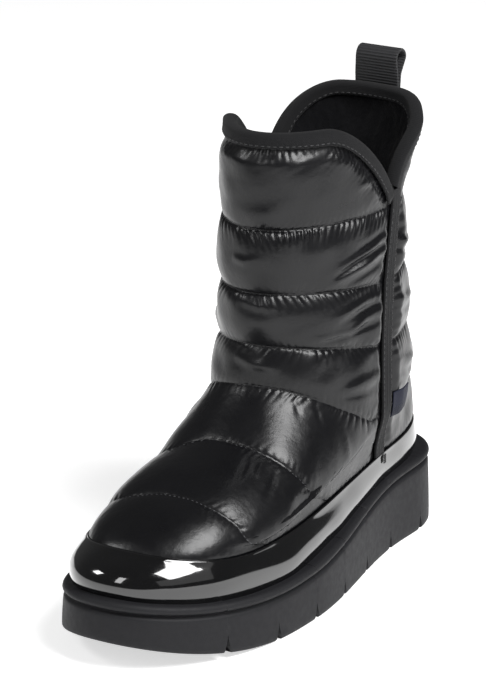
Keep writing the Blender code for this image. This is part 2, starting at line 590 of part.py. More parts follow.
def main():
    for thing in list(bpy.data.objects):
        bpy.data.objects.remove(thing, do_unlink=True)
    boot = bpy.data.collections.new("apres_ski_boot")
    cutters = bpy.data.collections.new("cutters")
    for collection in (boot, cutters):
        bpy.context.scene.collection.children.link(collection)

    rubber = make_material("sole_rubber", (0.052, 0.053, 0.057), 0.62)
    fleece = make_material("fleece", (0.014, 0.014, 0.017), 0.95)
    nylon = make_material("quilted_nylon", (0.018, 0.018, 0.021), 0.34)
    patent = make_material("patent_rand", (0.006, 0.006, 0.008), 0.08, coat=1.0)
    knit = make_material("knit_binding", (0.022, 0.022, 0.024), 0.85)
    webbing = make_material("webbing", (0.016, 0.016, 0.019), 0.8)
    zip_cloth = make_material("zip_tape", (0.011, 0.011, 0.013), 0.8)
    teeth = make_material("zip_teeth", (0.015, 0.015, 0.017), 0.35)
    metal = make_material("black_metal", (0.05, 0.05, 0.055), 0.3, metallic=1.0)
    label = make_material("woven_label", (0.012, 0.014, 0.028), 0.7)

    make_outsole(boot, cutters, rubber)
    make_insole(boot, fleece)
    make_upper(boot, nylon)
    make_rand(boot, patent)
    half = SEAM_TAPE_WIDTH / 2
    side_strip("seam_binding_lateral", -half, half, 8.02, TRIM_LIFT, TAPE, True, knit, boot)
    side_strip("seam_binding_medial", -half, half, 8.02, TRIM_LIFT, TAPE, False, knit, boot)
    zip_near, zip_far = ZIP_BACK - ZIP_TAPE_WIDTH / 2, ZIP_BACK + ZIP_TAPE_WIDTH / 2
    side_strip("zip_tape", zip_near, zip_far, 7.95, TRIM_LIFT, ZIP_TAPE, False, zip_cloth, boot)
    teeth_lift = TRIM_LIFT + ZIP_TAPE + GAP
    side_strip("zip_teeth", ZIP_BACK - TEETH_WIDTH / 2, ZIP_BACK + TEETH_WIDTH / 2, 7.9, teeth_lift, TEETH, False,
               teeth, boot)
    make_collar_binding("collar_binding_front", -0.243, 0.243, 33, knit, boot)
    make_collar_binding("collar_binding_back", 0.278, 0.722, 35, knit, boot)
    make_pull_loop(boot, webbing)
    label_v = np.linspace(*LABEL["v"], 3)[:, None]
    label_s = np.linspace(*LABEL["s"], 4)[None, :]
    add_skin("side_label", u_at(label_s, label_v + 0 * label_s), label_v + 0 * label_s, 3.4, 0.6, label, boot)
    make_slider(boot, cutters, metal)
    make_pull(boot, metal)


main()
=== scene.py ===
import math

import bmesh
import bpy
import numpy as np
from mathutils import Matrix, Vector


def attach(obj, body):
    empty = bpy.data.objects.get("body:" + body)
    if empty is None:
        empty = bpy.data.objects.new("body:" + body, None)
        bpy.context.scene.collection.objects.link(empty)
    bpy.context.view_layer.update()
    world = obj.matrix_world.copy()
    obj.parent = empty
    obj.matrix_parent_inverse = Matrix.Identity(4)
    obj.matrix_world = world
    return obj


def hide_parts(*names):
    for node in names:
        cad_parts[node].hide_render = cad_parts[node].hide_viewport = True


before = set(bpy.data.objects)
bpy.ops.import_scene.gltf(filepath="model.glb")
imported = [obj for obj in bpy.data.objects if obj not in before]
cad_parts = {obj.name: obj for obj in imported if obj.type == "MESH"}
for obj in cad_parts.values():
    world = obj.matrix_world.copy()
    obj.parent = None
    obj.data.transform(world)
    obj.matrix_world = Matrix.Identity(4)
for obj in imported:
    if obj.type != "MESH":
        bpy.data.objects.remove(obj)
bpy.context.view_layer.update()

# The boot's own sizes, in millimetres. s runs from the heel end of the sole to the toe tip, x is positive on
# the outer side, z is up. u goes once round the leg: 0 front, 0.25 outer side, 0.5 back, 0.75 inner side.
mm = 0.001
heelPoint = 52.0
soleLength = 272.0

# Hoops of the upper, from its edge at the sole up: s and z of the front ridge, s and z of the widest place,
# half widths outside and inside, s and z at the back, half widths of the heel, squareness of the front,
# rise over the foot, length of the rounded back
hoopRows = np.array((
    (263.0, 31.3, 180, 24.3, 45.0, 44.0, 8.5, 37.3, 30.5, 29.5, 2.20, 2.0, 0.26),
    (264.5, 42.0, 182, 34.0, 46.0, 45.0, 6.5, 47.0, 32.5, 31.5, 2.20, 2.0, 0.26),
    (250.0, 52.0, 188, 45.0, 41.5, 40.5, 9.0, 57.0, 33.5, 32.5, 2.40, 2.6, 0.28),
    (212.0, 69.0, 196, 48.0, 42.0, 41.0, 10.0, 63.0, 34.5, 33.5, 2.60, 1.7, 0.35),
    (169.0, 84.0, 148, 54.0, 42.5, 41.5, 11.0, 69.0, 36.5, 35.5, 2.25, 1.1, 0.55),
    (147.0, 104.0, 94, 78.0, 40.0, 39.0, 13.0, 82.0, 37.5, 36.5, 2.10, 1.0, 0.90),
    (143.0, 125.0, 81, 113.0, 38.5, 37.5, 21.0, 114.0, 38.5, 37.5, 2.00, 0.9, 1.0),
    (142.0, 151.0, 79, 146.0, 38.5, 37.5, 30.0, 148.0, 38.5, 37.5, 2.00, 0.8, 1.0),
    (142.0, 183.0, 75, 184.0, 38.5, 37.5, 33.0, 185.0, 38.5, 37.5, 2.00, 0.8, 1.0),
    (140.0, 229.0, 72, 228.0, 39.5, 38.5, 29.0, 228.0, 39.5, 38.5, 2.00, 1.0, 1.0),
    (139.5, 252.0, 71, 252.0, 40.0, 39.0, 27.5, 252.0, 40.0, 39.0, 2.00, 1.0, 1.0),
))
upperForm = {
    "frontHoops": (0, 1, 2, 3, 4, 5, 6, 7, 8, 9, 10),
    "frontRun": (0, 11, 26, 66, 110, 140, 162, 188, 220, 266, 289),
    "rearHoops": (0, 1, 2, 5, 6, 7, 8, 9, 10), "rearRun": (0, 10, 20, 46, 80, 115, 152, 196, 220),
    "lastHoopLevel": 9.5,    # the last hoop lies half a step above the collar
    "blendFrom": 0.85, "blendOver": 0.3,    # front hoops pass to rear ones, in quarter turns
    "toeSwing": 4.8, "swingFrom": 150.0, "swingOver": 113.0,
    "flareOutside": 6.5, "flareBack": 3.0, "flareFrom": 8.15, "flareOver": 0.7,
    "notchU": 0.256, "notchZ": 188.0, "collarRise": 41.0, "frontFallFrom": 0.13, "frontFall": 1.85,
    "backFallFrom": 0.06, "backFallOutside": 2.6, "backFallInside": 2.1,
    "wall": 3.0,
}
sideSeam = np.array((77.0, 79.0, 79.5, 79.0, 77.5, 76.0, 70.0))    # s of the side seams at hoops 2 to 8


def smooth(x):
    x = np.clip(x, 0, 1)
    return x * x * (3 - 2 * x)


def curveThrough(v, numbers, run):
    # Cubic through the listed hoops, spaced as they lie along the boot, with the parabola's slope at each.
    run = np.array(run, float)
    rows = hoopRows[list(numbers)]
    at = np.interp(v, np.minimum(numbers, upperForm["lastHoopLevel"]), run)
    steps = np.diff(run)[:, None]
    secants = np.diff(rows, axis=0) / steps
    inner = (secants[:-1] * steps[1:] + secants[1:] * steps[:-1]) / (steps[1:] + steps[:-1])
    slopes = np.concatenate((secants[:1], inner, secants[-1:]))
    i = np.clip(np.searchsorted(run, at, side="right") - 1, 0, len(run) - 2)
    step = (run[i + 1] - run[i])[..., None]
    f = (at - run[i])[..., None] / step
    return ((2 * f**3 - 3 * f**2 + 1) * rows[i] + (f**3 - 2 * f**2 + f) * step * slopes[i]
            + (3 * f**2 - 2 * f**3) * rows[i + 1] + (f**3 - f**2) * step * slopes[i + 1])


def legSurface(u, v):
    # Point of the bare upper: a rounded corner in front of the widest place, a straight side and a round
    # back behind it, raised over the foot by a power of how far ahead the point lies.
    form = upperForm
    u, v = np.broadcast_arrays(np.asarray(u, float) % 1, np.asarray(v, float))
    outer = u < 0.5
    turn = np.where(outer, u, 1 - u) * 4
    rear = smooth((turn - form["blendFrom"]) / form["blendOver"])[..., None]
    values = (curveThrough(v, form["frontHoops"], form["frontRun"]) * (1 - rear)
              + curveThrough(v, form["rearHoops"], form["rearRun"]) * rear)
    (frontS, frontZ, sideS, sideZ, outside, inside, backS, backZ, heelOut, heelIn,
     blunt, crown, backRound) = np.moveaxis(values, -1, 0)
    side, heel = np.where(outer, outside, inside), np.where(outer, heelOut, heelIn)
    angle = np.clip(turn, 0, 1) * math.pi / 2
    reach = (np.cos(angle)**blunt + np.sin(angle)**blunt)**(-1 / blunt)
    ahead, aside = np.clip(reach * np.cos(angle), 0, 1), np.clip(reach * np.sin(angle), 0, 1)
    along = 1 - np.sin(np.clip(turn - 1, 0, 1) * math.pi / 2)
    width = np.sqrt(1 - np.clip(1 - along / backRound, 0, 1)**2)
    atFront = turn < 1
    x = np.where(atFront, side * aside, width * (heel + (side - heel) * smooth(1.25 * along - 0.25)))
    s = np.where(atFront, sideS + (frontS - sideS) * ahead, backS + (sideS - backS) * along)
    z = np.where(atFront, sideZ + (frontZ - sideZ) * ahead**crown, backZ + (sideZ - backZ) * smooth(along))
    extra = (form["flareOutside"] - form["flareBack"]) * smooth((2 - turn) / 0.5)
    flare = (form["flareBack"] + np.where(outer, extra, 0)) * smooth((turn - 1.02) / 0.35)
    flare = flare * smooth((v - form["flareFrom"]) / form["flareOver"])
    x = (x + flare * np.sin(turn * math.pi / 2)) * np.where(outer, 1, -1)
    x = x - form["toeSwing"] * np.clip((s - form["swingFrom"]) / form["swingOver"], 0, 1)**2
    return np.stack((x, s + flare * np.cos(turn * math.pi / 2), z), -1)


def unit(vectors):
    return vectors / np.maximum(np.linalg.norm(vectors, axis=-1, keepdims=True), 1e-9)


def legNormal(u, v):
    step = 2e-3
    around = legSurface(u + step, v) - legSurface(u - step, v)
    upward = legSurface(u, np.minimum(v + step, 10)) - legSurface(u, np.maximum(v - step, 0))
    return unit(np.cross(upward, around))


def lifted(u, v, height):
    return legSurface(u, v) + legNormal(u, v) * np.asarray(height, float)[..., None]


def collarV(u):
    # Level of the collar's edge: the front panel is level and falls to the notch, the back flap stands up.
    form = upperForm
    u = np.asarray(u, float) % 1
    outer = u < 0.5
    turn = np.where(outer, u, 1 - u)
    front = (turn - form["frontFallFrom"]) / (form["notchU"] - form["frontFallFrom"])
    front = np.clip(front, 0, 1)**form["frontFall"]
    power = np.where(outer, form["backFallOutside"], form["backFallInside"])
    back = (0.5 - turn - form["backFallFrom"]) / (0.5 - form["notchU"] - form["backFallFrom"])
    back = np.clip(back, 0, 1)**power
    z = form["notchZ"] + form["collarRise"] * (1 - np.where(turn < form["notchU"], front, back))
    low, high = legSurface(u, np.full_like(u, 8.0))[..., 2], legSurface(u, np.full_like(u, 9.0))[..., 2]
    return 8 + (z - low) / (high - low)


def uAtLength(s, v, outer=True):
    # u of the point at length s on the rear of one side, found by halving.
    s, v = np.broadcast_arrays(np.asarray(s, float), np.asarray(v, float))
    near, far = np.full(s.shape, 0.18), np.full(s.shape, 0.5)
    for _ in range(26):
        middle = (near + far) / 2
        ahead = legSurface(middle if outer else 1 - middle, v)[..., 1] > s
        near, far = np.where(ahead, middle, near), np.where(ahead, far, middle)
    return middle if outer else 1 - middle


def seamS(v):
    return np.interp(v, np.arange(2, 9), sideSeam)


def inwardFrom(u, down, steps=6):
    # u and v of the points that lie down millimetres square to the collar's edge, found in short steps.
    gap = 4e-3
    v = collarV(u)
    along = legSurface(u + gap, collarV(u + gap)) - legSurface(u - gap, collarV(u - gap))
    for _ in range(steps):
        byU = (legSurface(u + gap, v) - legSurface(u - gap, v)) / (2 * gap)
        byV = (legSurface(u, v + gap) - legSurface(u, v - gap)) / (2 * gap)
        inward = unit(np.cross(along, np.cross(byU, byV)))
        inward *= -np.sign(inward[:, 2:])
        uu, uv, vv = np.sum(byU * byU, 1), np.sum(byU * byV, 1), np.sum(byV * byV, 1)
        du, dv = np.sum(inward * byU, 1), np.sum(inward * byV, 1)
        area = uu * vv - uv * uv
        u, v = u + (du * vv - dv * uv) / area * down / steps, v + (dv * uu - du * uv) / area * down / steps
    return u, v


# Meshes


def toWorld(points):
    points = np.asarray(points, float)
    return np.stack((points[..., 0], heelPoint - points[..., 1], points[..., 2]), -1) * mm


def gridFaces(rows, columns, wrap=False, flip=False):
    # Quads of a grid numbered row by row. wrap joins the last column to the first.
    count = columns if wrap else columns - 1
    start = np.arange(rows - 1)[:, None] * columns
    left, right = start + np.arange(count), start + (np.arange(count) + 1) % columns
    faces = np.stack((left, right, right + columns, left + columns), -1).reshape(-1, 4)
    return faces[:, ::-1] if flip else faces


def addMesh(name, points, faces, material, uv=None, inWorld=False, shadeSmooth=True):
    mesh = bpy.data.meshes.new(name)
    spots = points if inWorld else toWorld(points)
    faceLists = faces.tolist() if isinstance(faces, np.ndarray) else faces
    mesh.from_pydata(np.asarray(spots).reshape(-1, 3).tolist(), [], faceLists)
    if uv is not None:
        layer = mesh.uv_layers.new(name="sizes")
        corners = np.empty(len(mesh.loops), int)
        mesh.loops.foreach_get("vertex_index", corners)
        layer.data.foreach_set("uv", np.asarray(uv, float).reshape(-1, 2)[corners].ravel())
    mesh.materials.append(material)
    if shadeSmooth:
        mesh.shade_smooth()
    thing = bpy.data.objects.new(name, mesh)
    bpy.context.scene.collection.objects.link(thing)
    return thing


def weld(thing, distance=1e-6, outwards=False):
    work = bmesh.new()
    work.from_mesh(thing.data)
    bmesh.ops.remove_doubles(work, verts=work.verts, dist=distance)
    bmesh.ops.dissolve_degenerate(work, dist=1e-7, edges=work.edges)
    if outwards:
        bmesh.ops.recalc_face_normals(work, faces=work.faces)
    work.to_mesh(thing.data)
    work.free()


def finishPiece(thing, slot, *nodes, body="boot"):
    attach(thing, body)
    if nodes:
        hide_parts(*nodes)
    return thing


def runAlong(points, axis=0):
    # Running length along a grid's rows or columns.
    gaps = np.linalg.norm(np.diff(points, axis=axis), axis=-1)
    return np.concatenate((np.zeros_like(np.take(gaps, [0], axis)), np.cumsum(gaps, axis)), axis)


def distanceTo(points, line):
    # Distance to the nearest of a line's points, and that point's number, in blocks to save memory.
    flat = points.reshape(-1, 3).astype(np.float32)
    line = line.astype(np.float32)
    far, which = np.empty(len(flat), np.float32), np.empty(len(flat), int)
    square = np.sum(line * line, 1)
    for first in range(0, len(flat), 20000):
        block = flat[first:first + 20000]
        gap = square - 2 * block @ line.T + np.sum(block * block, 1)[:, None]
        nearest = np.argmin(gap, 1)
        which[first:first + 20000] = nearest
        far[first:first + 20000] = np.linalg.norm(block - line[nearest], axis=1)
    return far.reshape(points.shape[:-1]).astype(float), which.reshape(points.shape[:-1])


def softNoise(points, size, seed, waves=14):
    # Soft rise and fall of about one unit, as a sum of sine waves in all directions.
    draw = np.random.default_rng(seed)
    directions = unit(draw.normal(size=(waves, 3))) * (2 * math.pi / size)
    directions = directions * draw.uniform(0.6, 1.5, (waves, 1))
    phases = draw.uniform(0, 2 * math.pi, waves)
    return np.sum(np.sin(points @ directions.T + phases), -1) / math.sqrt(waves)


# Materials


def linear(hexColour):
    # sRGB hex to linear values
    parts = [int(hexColour[i:i + 2], 16) / 255 for i in (1, 3, 5)]
    return [c / 12.92 if c <= 0.04045 else ((c + 0.055) / 1.055)**2.4 for c in parts] + [1]


def newMaterial(name, colour, **sockets):
    material = bpy.data.materials.new(name)
    material.use_nodes = True
    shader = material.node_tree.nodes["Principled BSDF"]
    shader.inputs["Base Color"].default_value = linear(colour)
    for socket, value in sockets.items():
        shader.inputs[socket.replace("_", " ")].default_value = value
    return material, material.node_tree, shader


def addNode(tree, kind, inputs=None, **settings):
    # Adds a node with its settings; a value that is a socket is linked.
    added = tree.nodes.new(kind)
    for name, value in settings.items():
        setattr(added, name, value)
    for name, value in (inputs or {}).items():
        if isinstance(value, bpy.types.NodeSocket):
            tree.links.new(value, added.inputs[name])
        else:
            added.inputs[name].default_value = value
    return added


def objectNoise(tree, size, detail=2.0, roughness=0.5, stretch=(1, 1, 1)):
    # Noise on Object coordinates with features of about size millimetres
    spot = addNode(tree, "ShaderNodeTexCoord").outputs["Object"]
    spot = addNode(tree, "ShaderNodeMapping", {"Vector": spot, "Scale": stretch}).outputs["Vector"]
    return addNode(tree, "ShaderNodeTexNoise", {"Vector": spot, "Scale": 1 / (size * mm), "Detail": detail,
                                                "Roughness": roughness}).outputs["Fac"]


def spread(tree, value, low, high, toLow, toHigh):
    return addNode(tree, "ShaderNodeMapRange", {"Value": value, "From Min": low, "From Max": high,
                                                "To Min": toLow, "To Max": toHigh}).outputs["Result"]


def tint(tree, value, dark, light):
    ramp = addNode(tree, "ShaderNodeValToRGB", {"Fac": value})
    ramp.color_ramp.elements[0].color, ramp.color_ramp.elements[1].color = linear(dark), linear(light)
    return ramp.outputs["Color"]


def bump(tree, height, depth, before=None):
    # depth in millimetres
    inputs = {"Height": height, "Distance": depth * mm, "Strength": 1.0}
    if before is not None:
        inputs["Normal"] = before
    return addNode(tree, "ShaderNodeBump", inputs).outputs["Normal"]


def threadWaves(tree, across, alongSize, acrossSize):
    # Rows of threads on the piece's own UV, which is in millimetres
    spot = addNode(tree, "ShaderNodeUVMap", uv_map="sizes").outputs["UV"]
    split = addNode(tree, "ShaderNodeSeparateXYZ", {"Vector": spot})
    waves = []
    for axis, size in (("X", alongSize), ("Y", acrossSize)):
        turned = addNode(tree, "ShaderNodeMath", {0: split.outputs[axis], 1: 2 * math.pi / size},
                         operation="MULTIPLY")
        waves.append(addNode(tree, "ShaderNodeMath", {0: turned.outputs[0]}, operation="SINE").outputs[0])
    total = addNode(tree, "ShaderNodeMath", {0: waves[1], 1: across, 2: waves[0]}, operation="MULTIPLY_ADD")
    return total.outputs[0]


def quiltNylonMaterial():
    # Down-proof nylon, tightly woven and pressed to a shine: soft broad highlights, sharper on the creases.
    material, tree, shader = newMaterial("calendered_nylon", "#0b0b0d", Roughness=0.31, IOR=1.37,
                                         Coat_Weight=0.06, Coat_Roughness=0.12)
    mottle = objectNoise(tree, 34, 3)
    tree.links.new(tint(tree, mottle, "#09090b", "#101012"), shader.inputs["Base Color"])
    tree.links.new(spread(tree, objectNoise(tree, 11, 3), 0.3, 0.7, 0.27, 0.35), shader.inputs["Roughness"])
    creases = objectNoise(tree, 5.5, 3, 0.55)
    weave = objectNoise(tree, 0.6, 1)    # real threads are 0.2 mm; drawn at 0.6 so that they show
    tree.links.new(bump(tree, weave, 0.02, bump(tree, creases, 0.22)), shader.inputs["Normal"])
    return material


def patentMaterial():
    # Patent leather: a black coat of polyurethane, cast smooth, with mirror-like reflections.
    material, tree, shader = newMaterial("patent_coated_leather", "#050506", Roughness=0.1, IOR=1.5,
                                         Coat_Weight=1.0, Coat_Roughness=0.025, Coat_IOR=1.5)
    ripple = objectNoise(tree, 16, 1)
    peel = objectNoise(tree, 1.6, 1)
    tree.links.new(bump(tree, peel, 0.006, bump(tree, ripple, 0.16)), shader.inputs["Normal"])
    tree.links.new(spread(tree, objectNoise(tree, 6, 4), 0.35, 0.75, 0.07, 0.16), shader.inputs["Roughness"])
    return material


def rubberMaterial():
    # Injected rubber: matt dark grey with the mould's fine spark texture.
    material, tree, shader = newMaterial("moulded_rubber", "#161619", Roughness=0.62, IOR=1.5,
                                         Specular_IOR_Level=0.28)
    tree.links.new(tint(tree, objectNoise(tree, 40, 2), "#151518", "#18181b"), shader.inputs["Base Color"])
    tree.links.new(spread(tree, objectNoise(tree, 3, 3), 0.3, 0.7, 0.58, 0.68), shader.inputs["Roughness"])
    tree.links.new(bump(tree, objectNoise(tree, 0.7, 3), 0.05), shader.inputs["Normal"])
    return material


def fleeceMaterial():
    # Brushed polyester fleece: a short dense nap that swallows light, with a faint sheen at the edge.
    material, tree, shader = newMaterial("polyester_fleece", "#0f0f11", Roughness=1.0, IOR=1.45,
                                         Specular_IOR_Level=0.1,
                                         Sheen_Weight=0.06, Sheen_Roughness=0.5)
    tree.links.new(tint(tree, objectNoise(tree, 2.4, 4), "#08080a", "#111113"), shader.inputs["Base Color"])
    nap = bump(tree, objectNoise(tree, 0.9, 3, 0.7), 0.5, bump(tree, objectNoise(tree, 4, 3), 0.8))
    tree.links.new(nap, shader.inputs["Normal"])
    return material


def knitMaterial():
    # Ribbed knit binding: matt charcoal with fine wales along the tape.
    material, tree, shader = newMaterial("rib_knit_tape", "#1b1c1d", Roughness=0.9, IOR=1.5,
                                         Specular_IOR_Level=0.3,
                                         Sheen_Weight=0.04, Sheen_Roughness=0.5)
    rib = threadWaves(tree, 1.0, 1.1, 0.8)    # loops 1.1 mm apart along the tape and 0.8 mm across
    fuzz = objectNoise(tree, 0.8, 3)
    tree.links.new(tint(tree, spread(tree, rib, -1.6, 1.6, 0.15, 0.85), "#0a0a0c", "#0f0f11"),
                   shader.inputs["Base Color"])
    tree.links.new(bump(tree, fuzz, 0.1, bump(tree, rib, 0.03)), shader.inputs["Normal"])
    return material


def webbingMaterial():
    # Grosgrain webbing of polyester: cross ribs with a dull gleam.
    material, tree, shader = newMaterial("grosgrain_webbing", "#131315", Roughness=0.72, IOR=1.5,
                                         Sheen_Weight=0.03)
    rib = threadWaves(tree, 0.25, 1.5, 0.8)
    tree.links.new(tint(tree, spread(tree, rib, -1.25, 1.25, 0, 1), "#131315", "#222225"),
                   shader.inputs["Base Color"])
    tree.links.new(bump(tree, objectNoise(tree, 0.6, 2), 0.05, bump(tree, rib, 0.16)), shader.inputs["Normal"])
    return material


def zipTapeMaterial():
    # Woven polyester tape: fine herringbone lines along its length.
    material, tree, shader = newMaterial("woven_zip_tape", "#131315", Roughness=0.78, IOR=1.5,
                                         Sheen_Weight=0.06)
    rib = threadWaves(tree, 0.7, 0.9, 1.1)
    tree.links.new(tint(tree, spread(tree, rib, -1.7, 1.7, 0, 1), "#0e0e10", "#1b1b1e"),
                   shader.inputs["Base Color"])
    tree.links.new(bump(tree, rib, 0.12), shader.inputs["Normal"])
    return material


def plasticMaterial():
    # Acetal zip teeth: moulded black plastic with a satin shine.
    material, tree, shader = newMaterial("moulded_acetal", "#141416", Roughness=0.34, IOR=1.48)
    tree.links.new(spread(tree, objectNoise(tree, 1.5, 2), 0.3, 0.7, 0.28, 0.42), shader.inputs["Roughness"])
    return material


def metalMaterial():
    # Zinc die casting with black nickel: dark satin metal, a little brighter where it rubs.
    material, tree, shader = newMaterial("black_nickel_zinc", "#2b2b2e", Metallic=1.0, Roughness=0.28)
    wear = objectNoise(tree, 1.8, 4)
    tree.links.new(tint(tree, spread(tree, wear, 0.35, 0.75, 0, 1), "#242427", "#3b3b3f"),
                   shader.inputs["Base Color"])
    tree.links.new(spread(tree, wear, 0.3, 0.7, 0.22, 0.36), shader.inputs["Roughness"])
    return material


def threadMaterial(name, colour):
    # Bonded polyester sewing thread: a small bright twist.
    material, tree, shader = newMaterial(name, colour, Roughness=0.5, IOR=1.5, Sheen_Weight=0.1)
    tree.links.new(bump(tree, objectNoise(tree, 0.35, 1), 0.06), shader.inputs["Normal"])
    return material


def labelMaterial():
    # Woven satin label, dark navy and left plain: fine damask lines across.
    material, tree, shader = newMaterial("damask_label", "#151a2c", Roughness=0.6, IOR=1.5,
                                         Specular_IOR_Level=0.25)
    rib = threadWaves(tree, 0.8, 0.55, 0.45)    # real threads are 0.15 mm; drawn at 0.5 so that they show
    tree.links.new(tint(tree, spread(tree, rib, -1.8, 1.8, 0, 1), "#0b0e1e", "#151a2e"),
                   shader.inputs["Base Color"])
    tree.links.new(bump(tree, rib, 0.05), shader.inputs["Normal"])
    return material


def floorMaterial():
    # White acrylic of a light table: matt, and lit evenly from below.
    material, tree, shader = newMaterial("light_table_acrylic", "#f4f4f4", Roughness=0.85, IOR=1.4,
                                         Emission_Color=linear("#ffffff"), Emission_Strength=0.61)
    tree.links.new(bump(tree, objectNoise(tree, 2, 2), 0.01), shader.inputs["Normal"])
    return material


quiltNylon, patent, rubber, fleece = quiltNylonMaterial(), patentMaterial(), rubberMaterial(), fleeceMaterial()
knit, webbing, zipCloth, acetal = knitMaterial(), webbingMaterial(), zipTapeMaterial(), plasticMaterial()
metal, labelCloth = metalMaterial(), labelMaterial()
quiltThread, bindingThread = threadMaterial("quilting_thread", "#0c0c0e"), threadMaterial("binding_thread", "#1d1d1f")
vampThread = threadMaterial("topstitch_thread", "#4a4a4d")
print("materials done")


# Quilted nylon shell: a front panel over the foot and shin, and a rear panel round the heel and calf

quilt = {
    "fullRoll": 24.0, "fullness": 0.45, "edgeFade": 8.0,    # mm between seams at full height, roundness, mm
    "gatherDepth": 0.9, "gatherReach": 4.2, "aboveSeam": 0.62,    # mm of the puckers, share above a seam
    "leanBy": 0.7, "leanEvery": 23.0,    # the puckers lean to and fro
    "calm": 0.6, "calmAt": -0.03, "calmOver": 0.045,    # the front of the shin pulls less thread
    "sideTape": 3.6, "zipTape": 6.6, "collarTape": 5.5, "covered": 4.8,    # mm under the tapes
    "zipFromSeam": 11.9,
    "randLevel": 2.0, "tuckedIn": 0.4,    # below this level the panel lies flat behind the rand
    "underLoop": 0.055,    # u on each side of the back that the webbing presses flat
}
frontPanel = {
    "piece": "upper_quilt_front", "levels": (0, 1, 2, 3, 4, 5, 6, 7), "rows": (34, 44, 40, 26, 30, 36, 44),
    "columns": 380, "lines": (-0.36, 0.36), "collar": (-0.26, 0.26),
    "puff": (1.9, 2.1, 2.3, 3.3, 4.3, 4.2, 3.5),    # mm, from the toe up
    "pitch": (4.4, 4.6, 4.6, 4.0, 3.7, 3.5, 3.5),    # mm between puckers
    "gather": ((0.8, 0.9), (1.3, 1.0), (1.3, 1.1), (0.7, 1.1), (0.6, 1.3), (0.7, 1.7), (0.8, 1.6)),
    "pinch": {"from": 80, "seed": 7, "pitch": 5.5, "reach": 7, "depth": 0.8},
    "seed": 100, "waves": ((46, 1, 0.5), (19, 2, 0.27)), "footShare": 0.3, "fill": 0.55,
}
rearPanel = {
    "piece": "upper_quilt_rear", "levels": (0, 3, 4, 5, 6, 7), "rows": (34, 30, 32, 36, 40),
    "columns": 240, "lines": (0.22, 0.78), "collar": (0.25, 0.75),
    "puff": (3.0, 3.4, 4.2, 4.0, 3.0),
    "pitch": (4.8, 4.6, 4.4, 4.2, 4.2),
    "gather": ((0.5, 0.8), (0.6, 1.2), (0.6, 1.3), (0.7, 1.6), (0.8, 1.2)),
    "pinch": {"from": 20, "seed": 17, "pitch": 5.0, "reach": 8, "depth": 1.0},
    "seed": 300, "waves": ((40, 5, 0.45), (17, 6, 0.22)), "footShare": 1.0, "fill": 0.5,
}
# v of the two seams over the foot, at u on the inner side (negative) and the outer side. They run into the rand
toeSeamU = (-0.5, -0.27, -0.235, -0.213, -0.15, -0.1, -0.055, -0.016, 0.04, 0.14, 0.213, 0.235, 0.27, 0.5)
toeSeamV = (1.35, 1.35, 2.0, 2.7, 2.82, 2.83, 2.87, 2.955, 2.985, 2.96, 2.745, 2.0, 1.35, 1.35)
instepSeamU = (-0.5, -0.34, -0.3, -0.287, -0.23, -0.15, -0.091, -0.057, -0.022, 0.08, 0.23, 0.287, 0.3,
               0.34, 0.5)
instepSeamV = (1.65, 1.65, 2.0, 2.5, 3.85, 3.78, 3.79, 3.865, 3.94, 3.975, 3.985, 2.5, 2.0, 1.65, 1.65)


def quiltLevel(number, u):
    # v of a quilting line at u, from -0.5 at the back over 0 at the front to 0.5
    if number == 0:
        return np.full_like(u, 1.0)
    if number == 1:
        return np.interp(u, toeSeamU, toeSeamV)
    if number == 2:
        return np.interp(u, instepSeamU, instepSeamV)
    if number == 3:
        return 5 + 0.09 * np.exp(-((u - 0.08) / 0.09)**2)
    if number == 7:
        return collarV(u)
    return np.full_like(u, number + 2.0)


def spacedRows(count):
    # Parts from 0 to 1, closer together at both seams
    t = np.arange(count) / count
    return 0.55 * t + 0.45 * (1 - np.cos(math.pi * t)) / 2


def gathers(run, seed, pitch):
    # Puckers along a seam: rounded ridges with narrow folds between, uneven in spacing and size.
    draw = np.random.default_rng(seed)
    length = 700
    knots = np.arange(0, length, 6.0)
    phase = np.interp(np.arange(length), knots, np.cumsum(draw.normal(0, 1.3, len(knots))))
    size = np.interp(np.arange(length), knots, draw.uniform(0, 1, len(knots))**1.3)
    at = np.clip(run, 0, length - 1)
    wave = np.abs(np.sin(math.pi * at / pitch + 0.5 * np.interp(at, np.arange(length), phase)))
    return (wave**0.8 - 0.65) * (0.2 + 1.0 * np.interp(at, np.arange(length), size))


